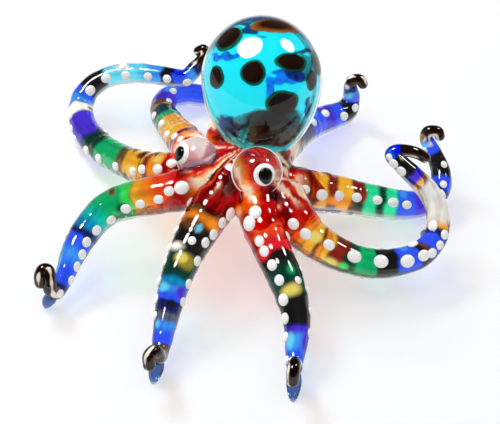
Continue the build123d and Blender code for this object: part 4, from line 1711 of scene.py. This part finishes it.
class OCTOPUS_OT_stage(bpy.types.Operator):
    """Lays the pale table and sets the lamps, the world and the camera"""

    bl_idname = "octopus.stage"
    bl_label = "Stage"

    def execute(self, context):
        self.table()
        self.world(context.scene)
        for name, way, distance, size, level in LAMPS:
            self.lamp(name, Vector(way).normalized(), distance, size, level)
        self.glints()
        self.camera(context.scene)
        context.scene.view_settings.view_transform = "Standard"
        return {"FINISHED"}

    def table(self):
        """A round white table with a faint gloss, lifted towards white where it is seen."""
        mesh = bpy.data.meshes.new("table")
        rim = [2 * math.pi * k / 128 for k in range(128)]
        mesh.from_pydata([(math.cos(a) * TABLE_RADIUS, math.sin(a) * TABLE_RADIUS, 0) for a in rim], [], [range(128)])
        table = bpy.data.objects.new("table", mesh)
        bpy.context.scene.collection.objects.link(table)
        material, tree, output = new_material("white laminate")
        shader = add_node(
            tree,
            "ShaderNodeBsdfPrincipled",
            {"Base Color": (*linear("#f4f5f7"), 1), "Roughness": 0.35, "Specular IOR Level": 0.3},
        )
        glow = add_node(tree, "ShaderNodeEmission", {"Color": (*linear("#fdfeff"), 1), "Strength": 1.0})
        share = add_node(
            tree,
            "ShaderNodeMapRange",
            {"To Min": 0.0, "To Max": TABLE_LIFT_IN_GLASS},
            {"Value": self.seen(tree)},
        )
        path = add_node(tree, "ShaderNodeLightPath")
        tree.links.new(
            add_node(
                tree,
                "ShaderNodeMapRange",
                {"To Min": TABLE_LIFT_IN_GLASS, "To Max": TABLE_LIFT},
                {"Value": path.outputs["Is Camera Ray"]},
            ).outputs["Result"],
            share.inputs["To Max"],
        )
        mix = add_node(
            tree,
            "ShaderNodeMixShader",
            None,
            {0: share.outputs["Result"], 1: shader.outputs["BSDF"], 2: glow.outputs["Emission"]},
        )
        tree.links.new(mix.outputs["Shader"], output.inputs["Surface"])
        mesh.materials.append(material)

    def seen(self, tree):
        """1 where the camera looks, straight, in a reflection or through glass."""
        path = add_node(tree, "ShaderNodeLightPath")
        gloss = add_node(
            tree,
            "ShaderNodeMath",
            {"operation": "MAXIMUM"},
            {0: path.outputs["Is Glossy Ray"], 1: path.outputs["Is Transmission Ray"]},
        )
        both = add_node(
            tree, "ShaderNodeMath", {"operation": "MAXIMUM"}, {0: path.outputs["Is Camera Ray"], 1: gloss.outputs[0]}
        )
        return both.outputs[0]

    def world(self, scene):
        """A white room as a lamp; in reflections and through glass it is dark, with bright round softboxes."""
        world = bpy.data.worlds.new("white studio")
        world.use_nodes = True
        tree = world.node_tree
        tree.nodes.clear()
        output = add_node(tree, "ShaderNodeOutputWorld")
        path = add_node(tree, "ShaderNodeLightPath")
        way = add_node(tree, "ShaderNodeTexCoord").outputs["Generated"]
        rise = add_node(tree, "ShaderNodeSeparateXYZ", None, {"Vector": way})
        level = add_node(
            tree,
            "ShaderNodeMapRange",
            {"interpolation_type": "SMOOTHSTEP", "From Max": 0.5, "To Min": HORIZON_LEVEL, "To Max": ROOM_LEVEL},
            {"Value": rise.outputs["Z"]},
        ).outputs["Result"]
        for softbox, half_angle, bright in SOFTBOXES:
            near = add_node(
                tree,
                "ShaderNodeVectorMath",
                {"operation": "DOT_PRODUCT", 1: Vector(softbox).normalized()},
                {0: way},
            )
            disc = add_node(
                tree,
                "ShaderNodeMapRange",
                {
                    "From Min": math.cos(math.radians(half_angle + 2)),
                    "From Max": math.cos(math.radians(half_angle - 2)),
                    "To Max": bright,
                },
                {"Value": near.outputs["Value"]},
            )
            level = add_node(
                tree, "ShaderNodeMath", {"operation": "ADD"}, {0: level, 1: disc.outputs["Result"]}
            ).outputs["Value"]
        backdrop = add_node(
            tree,
            "ShaderNodeMapRange",
            {"interpolation_type": "SMOOTHSTEP", "From Min": 0.2, "From Max": 0.55, "To Min": 1.0, "To Max": 0.05},
            {"Value": rise.outputs["Z"]},
        )
        through = add_node(
            tree,
            "ShaderNodeMath",
            {"operation": "MULTIPLY"},
            {0: backdrop.outputs["Result"], 1: path.outputs["Is Transmission Ray"]},
        )
        level = add_node(
            tree, "ShaderNodeMath", {"operation": "MAXIMUM"}, {0: level, 1: through.outputs["Value"]}
        ).outputs["Value"]
        room = add_node(tree, "ShaderNodeBackground", {"Color": (1, 1, 1, 1)}, {"Strength": level})
        lamp = add_node(tree, "ShaderNodeBackground", {"Color": (1, 1, 1, 1), "Strength": WORLD_LEVEL})
        plain = add_node(tree, "ShaderNodeBackground", {"Color": (1, 1, 1, 1), "Strength": 1.0})
        inner = add_node(
            tree,
            "ShaderNodeMixShader",
            None,
            {0: self.seen(tree), 1: lamp.outputs["Background"], 2: room.outputs["Background"]},
        )
        outer = add_node(
            tree,
            "ShaderNodeMixShader",
            None,
            {0: path.outputs["Is Camera Ray"], 1: inner.outputs["Shader"], 2: plain.outputs["Background"]},
        )
        tree.links.new(outer.outputs["Shader"], output.inputs["Surface"])
        scene.world = world

    def lamp(self, name, way, distance, size, level):
        """A round softbox that lights a white card below it to a level, and isn't mirrored."""
        data = bpy.data.lights.new(name, "AREA")
        data.shape, data.size = "DISK", size
        data.energy = level * math.pi**2 * distance**2 / way.z
        lamp = bpy.data.objects.new(name, data)
        lamp.location = VIEW_TARGET + way * distance
        lamp.rotation_euler = way.to_track_quat("Z", "Y").to_euler()
        lamp.visible_glossy = lamp.visible_transmission = False
        bpy.context.scene.collection.objects.link(lamp)

    def glints(self):
        """The softboxes as the bulb mirrors them, linked to its casing alone."""
        casing = bpy.data.collections.new("mirrors the softboxes")
        casing.objects.link(bpy.data.objects["mantle_casing_glass"])
        for k, (way, half_angle, bright) in enumerate(GLINTS):
            way = Vector(way).normalized()
            radius = GLINT_DISTANCE * math.tan(math.radians(half_angle))
            data = bpy.data.lights.new(f"Glint {k + 1}", "AREA")
            data.shape, data.size = "DISK", 2 * radius
            data.energy = bright * math.pi**2 * radius**2
            lamp = bpy.data.objects.new(data.name, data)
            lamp.location = MANTLE_MIDDLE + way * GLINT_DISTANCE
            lamp.rotation_euler = way.to_track_quat("Z", "Y").to_euler()
            lamp.visible_transmission = lamp.visible_camera = False
            lamp.light_linking.receiver_collection = casing
            bpy.context.scene.collection.objects.link(lamp)

    def camera(self, scene):
        """The camera at the photograph's angle."""
        data = bpy.data.cameras.new("camera")
        data.sensor_width, data.lens = SENSOR, VIEW_LENS
        camera = bpy.data.objects.new("camera", data)
        camera.location = VIEW_TARGET + VIEW_BACK * VIEW_DISTANCE
        camera.rotation_euler = VIEW_BACK.to_track_quat("Z", "Y").to_euler()
        data.clip_start, data.clip_end = 0.01, 10.0
        scene.collection.objects.link(camera)
        scene.camera = camera


class OCTOPUS_PT_panel(bpy.types.Panel):
    """Lists the pieces and their colours"""

    bl_label = "Glass Octopus"
    bl_idname = "OCTOPUS_PT_panel"
    bl_space_type = "VIEW_3D"
    bl_region_type = "UI"
    bl_category = "Octopus"

    def draw(self, context):
        for operator in OPERATORS:
            self.layout.operator(operator.bl_idname)
        for group in (context.scene.octopus_sizes, context.scene.octopus_glass):
            for key in group.__annotations__:
                self.layout.prop(group, key)


OPERATORS = (
    OCTOPUS_OT_mantle,
    OCTOPUS_OT_head,
    OCTOPUS_OT_eyes,
    OCTOPUS_OT_arms,
    OCTOPUS_OT_dots,
    OCTOPUS_OT_nubs,
    OCTOPUS_OT_feet,
    OCTOPUS_OT_stage,
)
CLASSES = (OctopusGlass, OctopusSizes, *OPERATORS, OCTOPUS_PT_panel)


def register():
    for cls in CLASSES:
        bpy.utils.register_class(cls)
    bpy.types.Scene.octopus_glass = PointerProperty(type=OctopusGlass)
    bpy.types.Scene.octopus_sizes = PointerProperty(type=OctopusSizes)


def unregister():
    del bpy.types.Scene.octopus_sizes
    del bpy.types.Scene.octopus_glass
    for cls in reversed(CLASSES):
        bpy.utils.unregister_class(cls)


def main():
    register()
    bpy.ops.octopus.mantle()
    bpy.ops.octopus.head()
    bpy.ops.octopus.eyes()
    bpy.ops.octopus.arms()
    bpy.ops.octopus.dots()
    bpy.ops.octopus.nubs()
    bpy.ops.octopus.feet()
    bpy.ops.octopus.stage()


if __name__ == "__main__":
    main()
